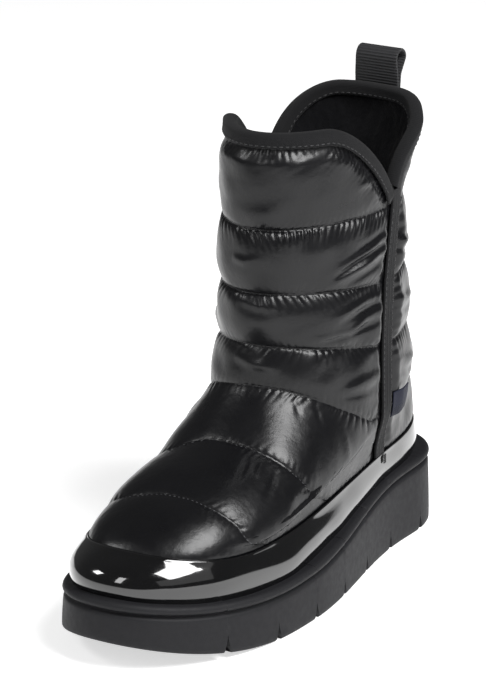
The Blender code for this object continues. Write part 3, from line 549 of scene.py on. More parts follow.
# Folds listed one by one: points as (u, v), half width and height in mm; a negative height is a trough.
frontFolds = (
    (((-0.034, 7.53), (-0.004, 7.51), (0.026, 7.58)), 2.4, 0.8),
    (((0.135, 7.10), (0.181, 7.285), (0.21, 7.39), (0.243, 7.48)), 2.0, 1.3),
    (((0.14, 7.22), (0.185, 7.39), (0.243, 7.58)), 2.0, -1.2),
    (((0.148, 7.34), (0.168, 7.43), (0.193, 7.52), (0.24, 7.66)), 1.8, 0.9),
    (((0.16, 7.05), (0.2, 7.2), (0.243, 7.33)), 2.0, -1.0),
    (((0.177, 7.56), (0.203, 7.62), (0.24, 7.75)), 2.2, -0.7),
    (((0.175, 8.36), (0.19, 8.365), (0.21, 8.375)), 2.2, 0.8),
    (((-0.05, 8.22), (0.007, 8.16), (0.06, 8.22)), 4.0, 0.35),
    (((-0.02, 6.90), (0.021, 6.80), (0.06, 6.78)), 2.6, 0.8),
    (((0.10, 6.16), (0.173, 6.28), (0.199, 6.475), (0.24, 6.62)), 2.3, 1.2),
    (((0.12, 6.10), (0.19, 6.28), (0.24, 6.45)), 2.2, -1.1),
    (((0.143, 6.54), (0.172, 6.68), (0.203, 6.78), (0.24, 6.84)), 2.2, 0.9),
    (((0.15, 6.42), (0.19, 6.60), (0.24, 6.74)), 2.0, -0.9),
    (((-0.033, 5.69), (0.016, 5.565), (0.058, 5.555)), 2.8, 0.7),
    (((0.172, 5.315), (0.203, 5.485), (0.24, 5.62)), 2.4, 1.0),
    (((0.17, 5.2), (0.21, 5.34), (0.245, 5.46)), 2.2, -0.9),
    (((0.041, 4.90), (0.061, 4.48), (0.079, 4.15)), 5.0, 0.3),
    (((0.186, 4.80), (0.218, 4.62), (0.25, 4.4)), 3.4, 0.4),
    (((0.095, 4.97), (0.112, 4.72)), 1.9, -0.4),
    (((0.13, 4.97), (0.15, 4.74)), 1.9, -0.4),
    (((0.068, 3.875), (0.081, 3.60), (0.09, 3.45)), 1.8, -0.4),
    (((0.123, 3.9), (0.132, 3.7), (0.141, 3.49)), 1.8, -0.6),
    (((0.095, 3.9), (0.105, 3.62)), 1.8, 0.6),
    (((-0.13, 7.15), (-0.19, 7.34), (-0.243, 7.52)), 2.0, 1.2),
    (((-0.14, 7.3), (-0.2, 7.5), (-0.243, 7.62)), 2.0, -1.1),
    (((-0.12, 6.2), (-0.18, 6.4), (-0.243, 6.62)), 2.2, 1.2),
    (((-0.13, 6.36), (-0.2, 6.58), (-0.24, 6.72)), 2.1, -1.1),
    (((-0.15, 5.25), (-0.2, 5.45), (-0.243, 5.6)), 2.3, 1.0),
    (((-0.15, 5.6), (-0.2, 5.72), (-0.24, 5.8)), 2.1, -0.8),
    (((-0.16, 8.2), (-0.2, 8.24), (-0.24, 8.2)), 2.1, 0.9),
    (((-0.12, 4.7), (-0.16, 4.5), (-0.22, 4.35)), 3.0, 0.8),
)
rearFolds = (
    (((0.27, 7.55), (0.31, 7.42), (0.36, 7.38)), 2.2, 1.1),
    (((0.27, 7.42), (0.32, 7.26), (0.37, 7.2)), 2.2, -1.0),
    (((0.275, 6.7), (0.32, 6.52), (0.37, 6.48)), 2.3, 1.1),
    (((0.275, 6.5), (0.32, 6.34), (0.36, 6.3)), 2.1, -1.0),
    (((0.28, 5.7), (0.32, 5.52), (0.38, 5.46)), 2.4, 1.0),
    (((0.28, 5.5), (0.33, 5.32), (0.38, 5.3)), 2.2, -0.9),
    (((0.44, 6.7), (0.5, 6.62), (0.56, 6.7)), 2.8, 0.8),
    (((0.43, 5.6), (0.5, 5.5), (0.57, 5.6)), 2.8, 0.9),
    (((0.44, 5.42), (0.5, 5.34), (0.56, 5.4)), 2.4, -0.8),
    (((0.45, 7.62), (0.5, 7.55), (0.56, 7.6)), 2.6, 0.7),
    (((0.69, 7.5), (0.65, 7.4), (0.6, 7.42)), 2.2, 1.1),
    (((0.69, 7.36), (0.65, 7.24), (0.6, 7.22)), 2.2, -1.0),
    (((0.69, 6.62), (0.65, 6.5), (0.6, 6.46)), 2.3, 1.1),
    (((0.69, 6.46), (0.64, 6.3), (0.59, 6.3)), 2.2, -1.0),
    (((0.68, 5.6), (0.64, 5.5), (0.6, 5.5)), 2.3, 1.0),
    (((0.69, 8.16), (0.65, 8.12), (0.61, 8.15)), 2.0, 0.8),
)


def addFolds(base, folds):
    # Adds each fold as a ridge with shallow troughs beside it, tapered at its ends.
    height, count = np.zeros(base.shape[:-1]), 300
    for spots, width, rise in folds:
        spots = np.array(spots)
        t = np.linspace(0, len(spots) - 1, count)
        pathU = np.interp(t, np.arange(len(spots)), spots[:, 0])
        pathV = np.interp(t, np.arange(len(spots)), spots[:, 1])
        line = legSurface(pathU, pathV)
        centre = line.mean(0)
        reach = np.linalg.norm(line - centre, axis=1).max() + 4 * width
        near = np.linalg.norm(base - centre, axis=-1) < reach
        far, which = distanceTo(base[near], line)
        taper = np.sin(math.pi * np.clip(which / (count - 1), 0.02, 0.98))**0.7
        r = far / width
        height[near] += rise * taper * (1 - 0.55 * r**2) * np.exp(-0.9 * r**2)
    return height


def quiltLine(number, first, last, floor=2.0):
    u = np.linspace(first, last, 520)
    v = np.maximum(quiltLevel(number, u), floor)
    return legSurface(u, v)


def panelHeights(base, u, v, panel):
    # Rise of the padded nylon: puffs between quilting lines, and puckers that fade away from each seam.
    height, gathering = np.zeros(u.shape), np.zeros(u.shape)
    lines = [quiltLine(number, *panel["lines"]) for number in panel["levels"]]
    lengths = [runAlong(line[None], axis=1)[0] for line in lines]
    start, lastRoll = 0, len(panel["rows"]) - 1
    for k, count in enumerate(panel["rows"]):
        last = start + count + (1 if k == lastRoll else 0)
        low, lowWhich = distanceTo(base[start:last], lines[k])
        high, highWhich = distanceTo(base[start:last], lines[k + 1])
        total = np.maximum(low + high, 1e-3)
        puff = panel["puff"][k] * np.minimum(total / quilt["fullRoll"], 1)
        puff = puff * np.sin(math.pi * low / total)**quilt["fullness"]
        above = v[start:last] > quilt["randLevel"]
        height[start:last] = np.where(above, puff, 0)
        free = np.maximum(high - (quilt["covered"] if k == lastRoll else 0), 0)
        for side, (far, which, line) in enumerate(((low, lowWhich, k), (free, highWhich, k + 1))):
            run = lengths[line][which]
            lean = quilt["leanBy"] * np.sin(run / quilt["leanEvery"] + line * 2 + side)
            reach = quilt["gatherReach"] * (quilt["aboveSeam"] if side == 0 else 1.0)
            envelope = smooth(far / 1.4) * np.exp(-(far / reach)**1.4)
            wave = gathers(run + 300 + lean * far, panel["seed"] + 10 * line + side, panel["pitch"][k])
            amount = panel["gather"][k][side] * smooth((total - 6) / 12)
            gathering[start:last] += np.where(above, amount * wave * envelope, 0)
        start += count
    calm = 1 - quilt["calm"] * np.exp(-((u - quilt["calmAt"]) / quilt["calmOver"])**2)
    return height, gathering * quilt["gatherDepth"] * calm


def bendToTrims(height, gather, base, lines, reach):
    # Padding is pressed flat where a tape is sewn through it.
    fade = np.ones(height.shape)
    nearest = np.full(height.shape, 1e3)
    for line, half in lines:
        far = distanceTo(base, line)[0]
        fade *= smooth((far - half) / reach)
        nearest = np.minimum(nearest, far - half)
    return height * fade, gather * smooth((nearest + 1) / 3), nearest


def panelGrid(panel, sides):
    # Grid of u and v: rows follow the quilting lines, columns are evenly spaced along each row.
    levels, rowCounts, fine = panel["levels"], panel["rows"], 260
    parts = np.concatenate([k + spacedRows(count) for k, count in enumerate(rowCounts)] + [[len(rowCounts)]])
    k = np.minimum(parts.astype(int), len(rowCounts) - 1)
    f = (parts - k)[:, None]
    rows = np.arange(len(parts))
    sideV = np.array([quiltLevel(n, np.array([0.36]))[0] for n in levels])
    sideV[-1] = 8.0
    atSide = np.clip(np.interp(parts, np.arange(len(levels)), sideV), 2.0, 8.0)
    left, right = sides(atSide)
    u = left[:, None] + (right - left)[:, None] * np.linspace(0, 1, fine)[None]

    def levelAt(u):
        table = np.stack([quiltLevel(n, (u + 0.5) % 1 - 0.5) for n in levels])
        return table[k, rows] * (1 - f) + table[k + 1, rows] * f

    for count in (fine, panel["columns"]):
        run = runAlong(legSurface(u, levelAt(u)), axis=1)
        even = np.linspace(0, 1, count)
        u = np.stack([np.interp(even * run[i, -1], run[i], u[i]) for i in rows])
    return u, levelAt(u)


def sideLine(offset, outer, low=1.6, high=8.02):
    v = np.linspace(low, high, 320)
    return legSurface(uAtLength(seamS(np.clip(v, 2, 8)) - offset, v, outer), v)


def makeQuilt(panel, sides, tapes, folds):
    # Nylon panel: the leg's surface raised by padded rolls, puckers, listed folds and soft waves.
    u, v = panelGrid(panel, sides)
    base, normals = legSurface(u, v), legNormal(u, v)
    height, gather = panelHeights(base, u, v, panel)
    at = np.linspace(*panel["collar"], 400)
    trims = tapes + [(legSurface(at, collarV(at)), quilt["collarTape"])]
    height, gather, nearest = bendToTrims(height, gather, base, trims, quilt["edgeFade"])
    height = np.where((v > 8) & (np.abs(u - 0.5) < quilt["underLoop"]), 0, height)
    folded = addFolds(base, folds) * smooth((nearest + 1.5) / 3) * smooth(height / 1.2)
    pinch = panel["pinch"]
    pinched = (gathers(runAlong(base, axis=0) + pinch["from"], pinch["seed"], pinch["pitch"]) * pinch["depth"]
               * np.exp(-(np.maximum(nearest, 0) / pinch["reach"])**1.5) * smooth((nearest + 1) / 2))
    soft = sum(softNoise(base, size, seed) * rise for size, seed, rise in panel["waves"])
    foot = panel["footShare"]    # the foot is stretched smoother than the shaft
    soft = soft * (foot + (1 - foot) * smooth((v - 4.9) / 0.4))
    height = height + gather + folded + (soft + pinched) * smooth(height / 2.0)
    level = quilt["randLevel"]
    height = np.where(v > level, height, 0) - quilt["tuckedIn"] * smooth((level - v) / 0.1)
    points = base + normals * height[..., None]
    uv = np.stack((runAlong(points, axis=1), runAlong(points, axis=0)), -1)
    shell = addMesh(panel["piece"], points, gridFaces(*u.shape), quiltNylon, uv)
    finishPiece(shell, "quilted_nylon", "upper")


sideTrims = [(sideLine(0, outer), quilt["sideTape"]) for outer in (True, False)]
zipTrim = (sideLine(quilt["zipFromSeam"], False), quilt["zipTape"])
makeQuilt(frontPanel, lambda at: (uAtLength(seamS(at), at, False) - 1, uAtLength(seamS(at), at)),
          sideTrims, frontFolds)
makeQuilt(rearPanel, lambda at: (uAtLength(seamS(at), at), uAtLength(seamS(at), at, False)),
          sideTrims + [zipTrim], rearFolds)
print("quilted panels done")


# Lining, insole and sole

lining = {
    "columns": 300, "rows": 150, "from": 0.15, "underTape": 0.03,    # levels where it starts and ends
    "inset": 0.3, "nap": ((5.0, 21, 0.28), (26, 22, 0.5)),    # mm into the wall; size, seed and rise
}


def makeLining():
    # Inner face of the wall, from the sole to just under the collar's tape, roughened by the nap.
    u = np.linspace(0, 1, lining["columns"], endpoint=False)[None]
    t = np.linspace(0, 1, lining["rows"])[:, None]
    v = lining["from"] + (collarV(u) - lining["underTape"] - lining["from"]) * t
    u = u + 0 * v
    nap = sum(softNoise(legSurface(u, v), size, seed) * rise for size, seed, rise in lining["nap"])
    points = lifted(u, v, nap - upperForm["wall"] - lining["inset"])
    uv = np.stack((u * 300, v * 40), -1)
    thing = addMesh("fleece_lining", points, gridFaces(*u.shape, True, True), fleece, uv)
    return finishPiece(thing, "fleece")


sole = {
    "heelRound": 0.154, "heelPower": 2.23, "toeFrom": 0.647, "toePower": 2.13,    # shares of the length
    "heelHalf": 38.0, "ball": {1: 53.3, -1: 52.4}, "waist": {1: 0.0, -1: 5.2},    # mm, 1 is outside
    "waistAt": 0.40, "waistOver": 0.13, "swing": 4.8, "swingFrom": 0.55,
    "spring": 14.3, "springFrom": 0.70, "heelLift": 3.0, "heelLiftTo": 0.07,
    "grooveHeel": 33.9, "grooveBall": 20.65, "grooveToe": 8.6,
    "cutFirst": 36.0, "cutPitch": 32.4, "cuts": 7, "cutHalf": 2.2, "cutHeight": 8.0, "cutReach": 7.0,
    "treadDepth": 3.0,
    "cutColumns": (-2.6, -1.8, -1.3, -1.03, -0.97, -0.5, 0, 0.5, 0.97, 1.03, 1.3, 1.8, 2.6),    # in half cuts
    "spine": (46.0, 222.0),
    # share of the way from the spine to the edge, and rise of the tread there
    "treadRings": ((0, 0), (0.12, 0), (0.25, 0), (0.4, 0.9), (0.55, 0.9), (0.7, 0), (0.82, 0), (0.9, 0)),
    # inset, share of the way up from the ground to the groove, and rise: foot, wall and rolled lip
    "profile": ((1.8, 0, 0.0), (1.0, 0, 0.12), (0.4, 0, 0.5), (0.05, 0, 1.2))
    + tuple((0.9 * a**1.5, a, 1.6 - 3.2 * a) for a in (0.05, 0.12, 0.2, 0.28, 0.36, 0.46, 0.6, 0.75, 0.9, 1))
    + ((1.1, 1, -1.0), (1.5, 1, -0.45), (2.3, 1, -0.05), (2.9, 1, 0.35), (3.1, 1, 0.9), (2.8, 1, 1.4),
       (2.0, 1, 1.75), (1.2, 1, 2.15), (0.7, 1, 2.75), (0.5, 1, 3.5), (0.65, 1, 4.3), (1.1, 1, 5.0),
       (1.8, 1, 5.5), (2.7, 1, 5.78), (3.6, 1, 5.85)),
    "seat": ((2.15, 0.0), (2.0, -0.8), (0.0, -1.8), (-6.0, -1.8)),    # mm from the upper's edge, and up
}


def soleHalf(t, side):
    # Half width at t of the length: rounded ends, waist on the inner side, toe swung inwards.
    heel = (1 - np.clip(1 - t / sole["heelRound"], 0, 1)**sole["heelPower"])**(1 / sole["heelPower"])
    ahead = np.clip((t - sole["toeFrom"]) / (1 - sole["toeFrom"]), 0, 1)
    toe = (1 - ahead**sole["toePower"])**(1 / sole["toePower"])
    body = sole["heelHalf"] + (sole["ball"][side] - sole["heelHalf"]) * smooth((t - 0.2) / 0.42)
    body = body - sole["waist"][side] * np.exp(-((t - sole["waistAt"]) / sole["waistOver"])**2)
    swung = np.clip((t - sole["swingFrom"]) / (1 - sole["swingFrom"]), 0, 1)**2
    return heel * toe * body * side - sole["swing"] * swung


def groundZ(t):
    return (sole["spring"] * np.clip((t - sole["springFrom"]) / (1 - sole["springFrom"]), 0, 1)**2
            + sole["heelLift"] * np.clip((sole["heelLiftTo"] - t) / sole["heelLiftTo"], 0, 1)**2)


def grooveZ(t):
    level = sole["grooveHeel"] + (sole["grooveBall"] - sole["grooveHeel"]) * smooth((t - 0.1) / 0.6)
    return level + sole["grooveToe"] * np.clip((t - sole["springFrom"]) / (1 - sole["springFrom"]), 0, 1)**2


def featherEdge(u, offset, rise=0.0):
    # Edge of the upper at the sole, moved level outwards by offset and up by rise.
    edge = legSurface(u, np.zeros(len(u)))
    along = legSurface(u + 1e-3, np.zeros(len(u))) - legSurface(u - 1e-3, np.zeros(len(u)))
    outward = unit(np.stack((along[:, 1], -along[:, 0]), -1))
    outward *= np.sign(np.sum(outward * (edge[:, :2] - edge[:, :2].mean(0))))
    return np.column_stack((edge[:, :2] + outward * offset, edge[:, 2] + rise))


def makeSole():
    # Outline swept through the profile of the side; the columns close in on each cut as it narrows upwards.
    t = (1 - np.cos(np.linspace(0, math.pi, 1600))) / 2
    outerSide = np.stack((soleHalf(t, 1), t * soleLength), -1)
    innerSide = np.stack((soleHalf(t, -1), t * soleLength), -1)[-2:0:-1]
    closed = np.concatenate((outerSide, innerSide, outerSide[:1]))
    run = np.concatenate(([0], np.cumsum(np.linalg.norm(np.diff(closed, axis=0), axis=1))))
    total, half = run[-1], len(t)
    cutS = sole["cutFirst"] + sole["cutPitch"] * np.arange(sole["cuts"])
    centres = np.concatenate((np.interp(cutS, closed[:half, 1], run[:half]),
                              np.interp(cutS, closed[half:-1, 1][::-1], run[half:-1][::-1])))
    cutColumns = np.array(sole["cutColumns"])
    base = np.linspace(0, total, 520, endpoint=False)
    gaps = np.abs((base[:, None] - centres[None] + total / 2) % total - total / 2)
    clear = np.min(gaps, 1) > sole["cutHalf"] * 2.9
    ofCut = np.repeat((False, True), (clear.sum(), len(centres) * len(cutColumns)))
    within = np.concatenate((np.zeros(clear.sum()), np.tile(cutColumns, len(centres))))
    place = np.concatenate((base[clear], np.repeat(centres, len(cutColumns))))
    order = np.argsort(place + within * sole["cutHalf"])
    ofCut, within, place = ofCut[order], within[order], place[order]
    inCut = ofCut & (np.abs(within) < 1)

    def ringAt(squeeze):
        along = (place + within * sole["cutHalf"] * np.where(np.abs(within) < 1.1, squeeze, 1)) % total
        return np.stack((np.interp(along, run, closed[:, 0]), np.interp(along, run, closed[:, 1])), -1)

    edge = ringAt(1.0)
    tangent = unit(np.roll(edge, -3, 0) - np.roll(edge, 3, 0))
    normal = np.stack((tangent[:, 1], -tangent[:, 0]), -1)
    normal *= np.sign(np.sum(normal * (edge - edge.mean(0))))
    spineS = np.clip(edge[:, 1], *sole["spine"])
    spineX = (soleHalf(spineS / soleLength, 1) + soleHalf(spineS / soleLength, -1)) / 2
    spine = np.stack((spineX, spineS), -1)
    tread = np.where(inCut, sole["treadDepth"], 0.0)
    ground, groove = groundZ(edge[:, 1] / soleLength), grooveZ(edge[:, 1] / soleLength)
    rings = []
    for share, rise in sole["treadRings"]:
        flat = spine + (edge - normal * sole["profile"][0][0] - spine) * share
        rings.append(np.column_stack((flat, groundZ(flat[:, 1] / soleLength) + tread + rise)))
    for inset, share, rise in sole["profile"]:
        height = (groove - ground) * share + rise
        opening = np.clip(1 - height / sole["cutHeight"], 0, 1)
        reach = sole["cutReach"] * np.minimum(1, opening * 3)
        into = np.where(inCut & (height < sole["cutHeight"]), reach, 0)
        flat = ringAt(np.maximum(opening, 0.06)) - normal * (inset + into)[:, None]
        low = np.where(inCut, np.maximum(sole["treadDepth"] - height, 0), 0) if share == 0 else 0
        rings.append(np.column_stack((flat, ground + height + low)))
    edgeU = np.linspace(0, 1, 900, endpoint=False)
    for offset, drop in sole["seat"]:
        seat = featherEdge(edgeU, offset, drop)
        far = np.linalg.norm(seat[None, :, :2] - rings[-1][:, None, :2], axis=2)
        nearest = seat[np.argmin(far, 1)]
        rings.append(np.column_stack((nearest[:, :2], rings[-1][:, 2] if drop == 0 else nearest[:, 2])))
    top = rings[-1]
    for share in (0.6, 0.3, 0):
        flat = spine + (top[:, :2] - spine) * share
        z = top[:, 2] * share + (1 - share) * (grooveZ(flat[:, 1] / soleLength) + 2)
        rings.append(np.column_stack((flat, z)))
    thing = addMesh("sole_unit", np.concatenate(rings), gridFaces(len(rings), len(place), True), rubber)
    weld(thing, 5e-6, outwards=True)
    thing.data.shade_smooth()
    thing.data.set_sharp_from_angle(angle=math.radians(48))
    return finishPiece(thing, "sole_rubber", "outsole")


footbed = {
    "columns": 260,
    "rim": ((-4.2, -0.2), (-3.9, 1.6), (-4.4, 3.0), (-5.6, 3.7)),    # mm from the upper's edge, and up
    "spine": (50.0, 215.0), "spineX": ((0, 150, 272), (0.3, 0.5, -4)),
    "middleZ": ((50, 110, 125, 215), (35.0, 31.5714, 31.0526, 32.0)),    # height of its middle along the foot
    "crown": 0.4, "dish": 1.6, "nap": (5, 41, 0.15),
}


def makeInsole():
    # Footbed inside the upper: its rim follows the upper's edge, its middle is a little dished.
    u = np.linspace(0, 1, footbed["columns"], endpoint=False)
    rim = featherEdge(u, footbed["rim"][0][0])
    spineS = np.clip(rim[:, 1], *footbed["spine"])
    spine = np.column_stack((np.interp(spineS, *footbed["spineX"]), spineS, rim[:, 2]))
    middle = np.interp(spineS, *footbed["middleZ"])
    rings = [featherEdge(u, offset, rise) for offset, rise in footbed["rim"]]
    top = rings[-1]
    for f in (0.85, 0.7, 0.55, 0.4, 0.25, 0.1, 0):
        ring = spine + (top - spine) * f
        share = min(1, f * 2)
        dished = top[:, 2] + footbed["crown"] - footbed["dish"] * smooth(1 - f)
        ring[:, 2] = dished * share + (1 - share) * middle
        rings.append(ring)
    points = np.concatenate(rings)
    size, seed, rise = footbed["nap"]
    points[:, 2] += softNoise(points, size, seed) * rise
    insole = addMesh("fleece_footbed", points, gridFaces(len(rings), len(u), True), fleece)
    weld(insole)
    finishPiece(insole, "fleece", "insole")


rand = {
    "columns": 640, "skirt": 10.0,    # mm the sheet goes down for each level below the upper's edge
    "thick": 1.8,
    "face": (-0.1, 0.0, 0.12, 0.3, 0.5, 0.7, 0.9, 1.1, 1.3, 1.5, 1.65, 1.78, 1.88, 1.94),    # levels
    "rolledTop": ((1.975, 1.75), (2.0, 1.55), (2.015, 1.2), (2.01, 0.75), (1.98, 0.45), (1.9, 0.3),
                  (1.7, 0.3), (1.2, 0.3)),    # levels and mm over the upper
    "waves": ((60, 31, 0.45), (24, 32, 0.14)), "deepest": -0.3,
}


def makeRand():
    # Patent rand all round the foot: a bent sheet with a rolled top, its lower edge under the sole's lip.
    fine = np.linspace(0, 1, 1600)
    run = runAlong(legSurface(fine, np.ones_like(fine))[None], axis=1)[0]
    u = np.interp(np.linspace(0, run[-1], rand["columns"], endpoint=False), run, fine)[None]
    path = [(-0.14, 0.4), (-0.14, 1.6)] + [(v, rand["thick"]) for v in rand["face"]] + list(rand["rolledTop"])
    v = np.array([p[0] for p in path])[:, None] + 0 * u
    lift = np.array([p[1] for p in path])[:, None] + 0 * u
    base = legSurface(u, v)
    sag = sum(softNoise(base, size, seed) * rise for size, seed, rise in rand["waves"])
    sag = np.maximum(sag, rand["deepest"]) * smooth(v / 0.4) * smooth((2.0 - v) / 0.25) * (lift > 1)
    points = lifted(u + 0 * v, v, lift + sag)
    points[..., 2] += np.minimum(v, 0) * rand["skirt"]
    thing = addMesh("patent_rand", points, gridFaces(*v.shape, True), patent)
    return finishPiece(thing, "patent_rand", "mudguard")


makeLining()
makeSole()
makeInsole()
makeRand()
print("lining, sole and rand done")


# Tapes, stitches and the zip


def stripSection(half, thick, edge=0.5, inside=5):
    # Closed cross-section of a tape: across from -half to half and height, with rounded edges.
    a = np.linspace(0, math.pi, 5)
    right = [(half - edge + edge * math.sin(x), thick / 2 + thick / 2 * math.cos(x)) for x in a]
    flat = [(x, thick) for x in np.linspace(-half + edge, half - edge, inside)[1:-1]]
    left = [(-half + edge - edge * math.sin(x), thick / 2 - thick / 2 * math.cos(x)) for x in a]
    return np.array(left + flat + right)


sideTape = {"fromSeam": 0.0, "half": 4.7, "top": 8.17, "lift": 0.6, "thick": 1.3, "ribs": 0.12, "ribPitch": 2.2}
zipTape = {"fromSeam": quilt["zipFromSeam"], "half": 6.8, "top": 7.98, "lift": 0.6, "thick": 0.8, "ribs": 0.0,
           "ribPitch": 2.2}
collarTape = {
    "stations": 420, "leg": 5.7, "gap": 0.75, "thick": 1.2,    # mm down the wall, off the wall, of two plies
    "between": (4.3, 3.4, 2.5, 1.6), "foldFrom": 0.6, "foldRise": 2.1,    # mm below the edge
    "wave": (30, 51, 0.15), "front": (-0.2545, 0.2545), "back": (0.2635, 0.7365),
}


def makeSideTape(name, tape, outer, material, slot, node):
    # A tape down the side of the shaft, its section carried along the side seam.
    v = np.concatenate((np.linspace(2.06, 5, 90), np.linspace(5, tape["top"], 180)[1:]))[:, None]
    section = stripSection(tape["half"], tape["thick"], min(0.5, tape["thick"] * 0.5), 13)
    across, height = section[:, 0][None], section[:, 1][None]
    ribs = tape["ribs"] * np.cos(across * 2 * math.pi / tape["ribPitch"])
    height = height + np.where(height > tape["thick"] * 0.9, ribs, 0)
    s = seamS(v) - tape["fromSeam"] - across
    points = lifted(uAtLength(s, v + 0 * s, outer), v + 0 * s, tape["lift"] + height + 0 * s)
    run = runAlong(points, axis=0)
    uv = np.stack((run, np.broadcast_to(across, run.shape)), -1)
    thing = addMesh(name, points, gridFaces(*run.shape, True, flip=outer), material, uv)
    return finishPiece(thing, slot, node)


def makeCollarTape(name, ends, node):
    # Binding folded over the collar's edge: outer leg, rounded top and inner leg, closed into one body.
    tape, wall = collarTape, upperForm["wall"]
    leg, gap, fold = tape["leg"], tape["gap"], tape["foldFrom"]
    outside, inside = gap + tape["thick"], -wall - gap - tape["thick"]
    middle, halfWidth = (outside + inside) / 2, (outside - inside) / 2
    section = [(gap + 0.1, leg), (outside - 0.35, leg + 0.1), (outside, leg - 0.5)]
    section += [(outside, down) for down in tape["between"]]
    section += [(middle + halfWidth * math.cos(a), fold - tape["foldRise"] * math.sin(a))
                for a in np.linspace(0, math.pi, 11)]
    section += [(inside, down) for down in tape["between"][::-1]]
    section += [(inside, leg - 0.5), (inside + 0.35, leg + 0.1), (-wall - gap + 0.05, leg)]
    section += [(-wall - gap + 0.05, fold), (gap - 0.05, fold)]
    u = np.linspace(*ends, tape["stations"])
    size, seed, rise = tape["wave"]
    wave = softNoise(legSurface(u, collarV(u)), size, seed) * rise
    lines = [lifted(*inwardFrom(u, down), out + wave * (down < 2)) for out, down in section]
    points = np.stack(lines, 1)
    uv = np.stack((runAlong(points, axis=0), runAlong(points, axis=1)), -1)
    thing = addMesh(name, points, gridFaces(len(u), len(section), True), knit, uv)
    closeEnds(thing)
    return finishPiece(thing, "knit_binding", node)


def closeEnds(thing):
    # Fills the open ends of a tube and turns its faces outwards.
    work = bmesh.new()
    work.from_mesh(thing.data)
    rim = [edge for edge in work.edges if edge.is_boundary]
    bmesh.ops.holes_fill(work, edges=rim, sides=0)
    bmesh.ops.recalc_face_normals(work, faces=work.faces)
    work.to_mesh(thing.data)
    work.free()


def makeStitches(name, centres, along, normals, length, radius, material, slot):
    # Short rounded threads, each a spindle along its line that dips into the cloth at both ends.
    turns = np.linspace(0, 2 * math.pi, 6, endpoint=False)
    steps = np.array((-1, -0.8, -0.35, 0.35, 0.8, 1.0)) * length / 2
    girth = np.array((0.25, 0.8, 1, 1, 0.8, 0.25)) * radius
    dip = -np.array((1.0, 0.25, 0, 0, 0.25, 1.0)) * radius * 1.4
    side = unit(np.cross(along, normals))
    shape = (centres[:, None, None] + along[:, None, None] * steps[None, :, None, None]
             + side[:, None, None] * (girth[:, None] * np.cos(turns)[None])[None, :, :, None]
             + normals[:, None, None] * (girth[:, None] * np.sin(turns)[None] + dip[:, None])[None, :, :, None])
    count = len(centres)
    tube = gridFaces(len(steps), len(turns), True)
    firstEnd = np.array(((0, 1, 2, 3), (0, 3, 4, 5)))
    lastEnd = np.array(((0, 3, 2, 1), (0, 5, 4, 3))) + (len(steps) - 1) * len(turns)
    local = np.concatenate((tube, firstEnd, lastEnd))
    faces = (local[None] + (np.arange(count) * len(steps) * len(turns))[:, None, None]).reshape(-1, 4)
    thing = addMesh(name, shape.reshape(-1, 3), faces, material)
    weld(thing, 0.0, outwards=True)
    return finishPiece(thing, slot)


def stitchLine(points, normals, pitch):
    # Evenly spaced centres along a line, with the line's direction and the cloth's normal at each.
    run = runAlong(points[None], axis=1)[0]
    at = np.arange(pitch, run[-1] - pitch / 2, pitch)
    centre = np.stack([np.interp(at, run, points[:, i]) for i in range(3)], -1)
    normal = unit(np.stack([np.interp(at, run, normals[:, i]) for i in range(3)], -1))
    ahead = np.stack([np.interp(at + 0.4, run, points[:, i]) for i in range(3)], -1)
    return centre, unit(ahead - centre), normal


def sewLines(name, lines, stitch, thread, slot):
    parts = [stitchLine(points, normals, stitch["pitch"]) for points, normals in lines]
    centres, along, normals = [np.concatenate(part) for part in zip(*parts)]
    makeStitches(name, centres, along, normals, stitch["length"], stitch["radius"], thread, slot)


makeSideTape("side_tape_outer", sideTape, True, knit, "knit_binding", "seam_binding_lateral")
makeSideTape("side_tape_inner", sideTape, False, knit, "knit_binding", "seam_binding_medial")
makeSideTape("zip_tape_cloth", zipTape, False, zipCloth, "zip_tape", "zip_tape")
makeCollarTape("collar_tape_front", collarTape["front"], "collar_binding_front")
makeCollarTape("collar_tape_back", collarTape["back"], "collar_binding_back")

teeth = {
    "pitch": 2.0, "lift": 1.7, "height": 1.3, "half": 0.62,    # mm along a row, off the leg, of a tooth
    "nose": 0.55, "neck": 0.9, "reach": 2.5,    # mm across: past the middle line, and back to the tape
    "from": 2.12, "to": 7.9,
}


def makeTeeth():
    # Two rows of moulded teeth that mesh: each a small block with a rounded nose past the middle line.
    v = np.linspace(teeth["from"], teeth["to"], 1400)
    u = uAtLength(seamS(v) - zipTape["fromSeam"], v, False)
    at, along, out = stitchLine(legSurface(u, v), legNormal(u, v), teeth["pitch"] / 2)
    across = unit(np.cross(along, out))
    sign = np.where(np.arange(len(at)) % 2 == 0, 1.0, -1.0)
    half, nose, neck, reach, height = [teeth[key] for key in ("half", "nose", "neck", "reach", "height")]
    outline = np.array(((-nose, -half * 0.45), (-nose * 1.3, 0), (-nose, half * 0.45), (neck, half),
                        (reach, half), (reach, -half), (neck, -half)))
    middle = outline.mean(0)
    shape = []
    for rise, scale in ((0.0, 1.0), (height * 0.75, 1.0), (height, 0.72)):
        flat = middle + (outline - middle) * scale
        shape.append(at[:, None] + across[:, None] * (flat[None, :, 0] * sign[:, None])[..., None]
                     + along[:, None] * flat[None, :, 1, None] + out[:, None] * (teeth["lift"] + rise))
    points, around = np.stack(shape, 1), len(outline)
    cap = [(0, 1, 2, 3), (0, 3, 4, 6), (4, 5, 6)]
    oneTooth = gridFaces(3, around, True).tolist() + [[n + 2 * around for n in face] for face in cap]
    oneTooth += [face[::-1] for face in cap]
    everyFace = [[n + i * 3 * around for n in face] for i in range(len(at)) for face in oneTooth]
    thing = addMesh("zip_chain", points, everyFace, acetal, shadeSmooth=False)
    weld(thing, 0.0, outwards=True)
    return finishPiece(thing, "zip_teeth", "zip_teeth")


makeTeeth()

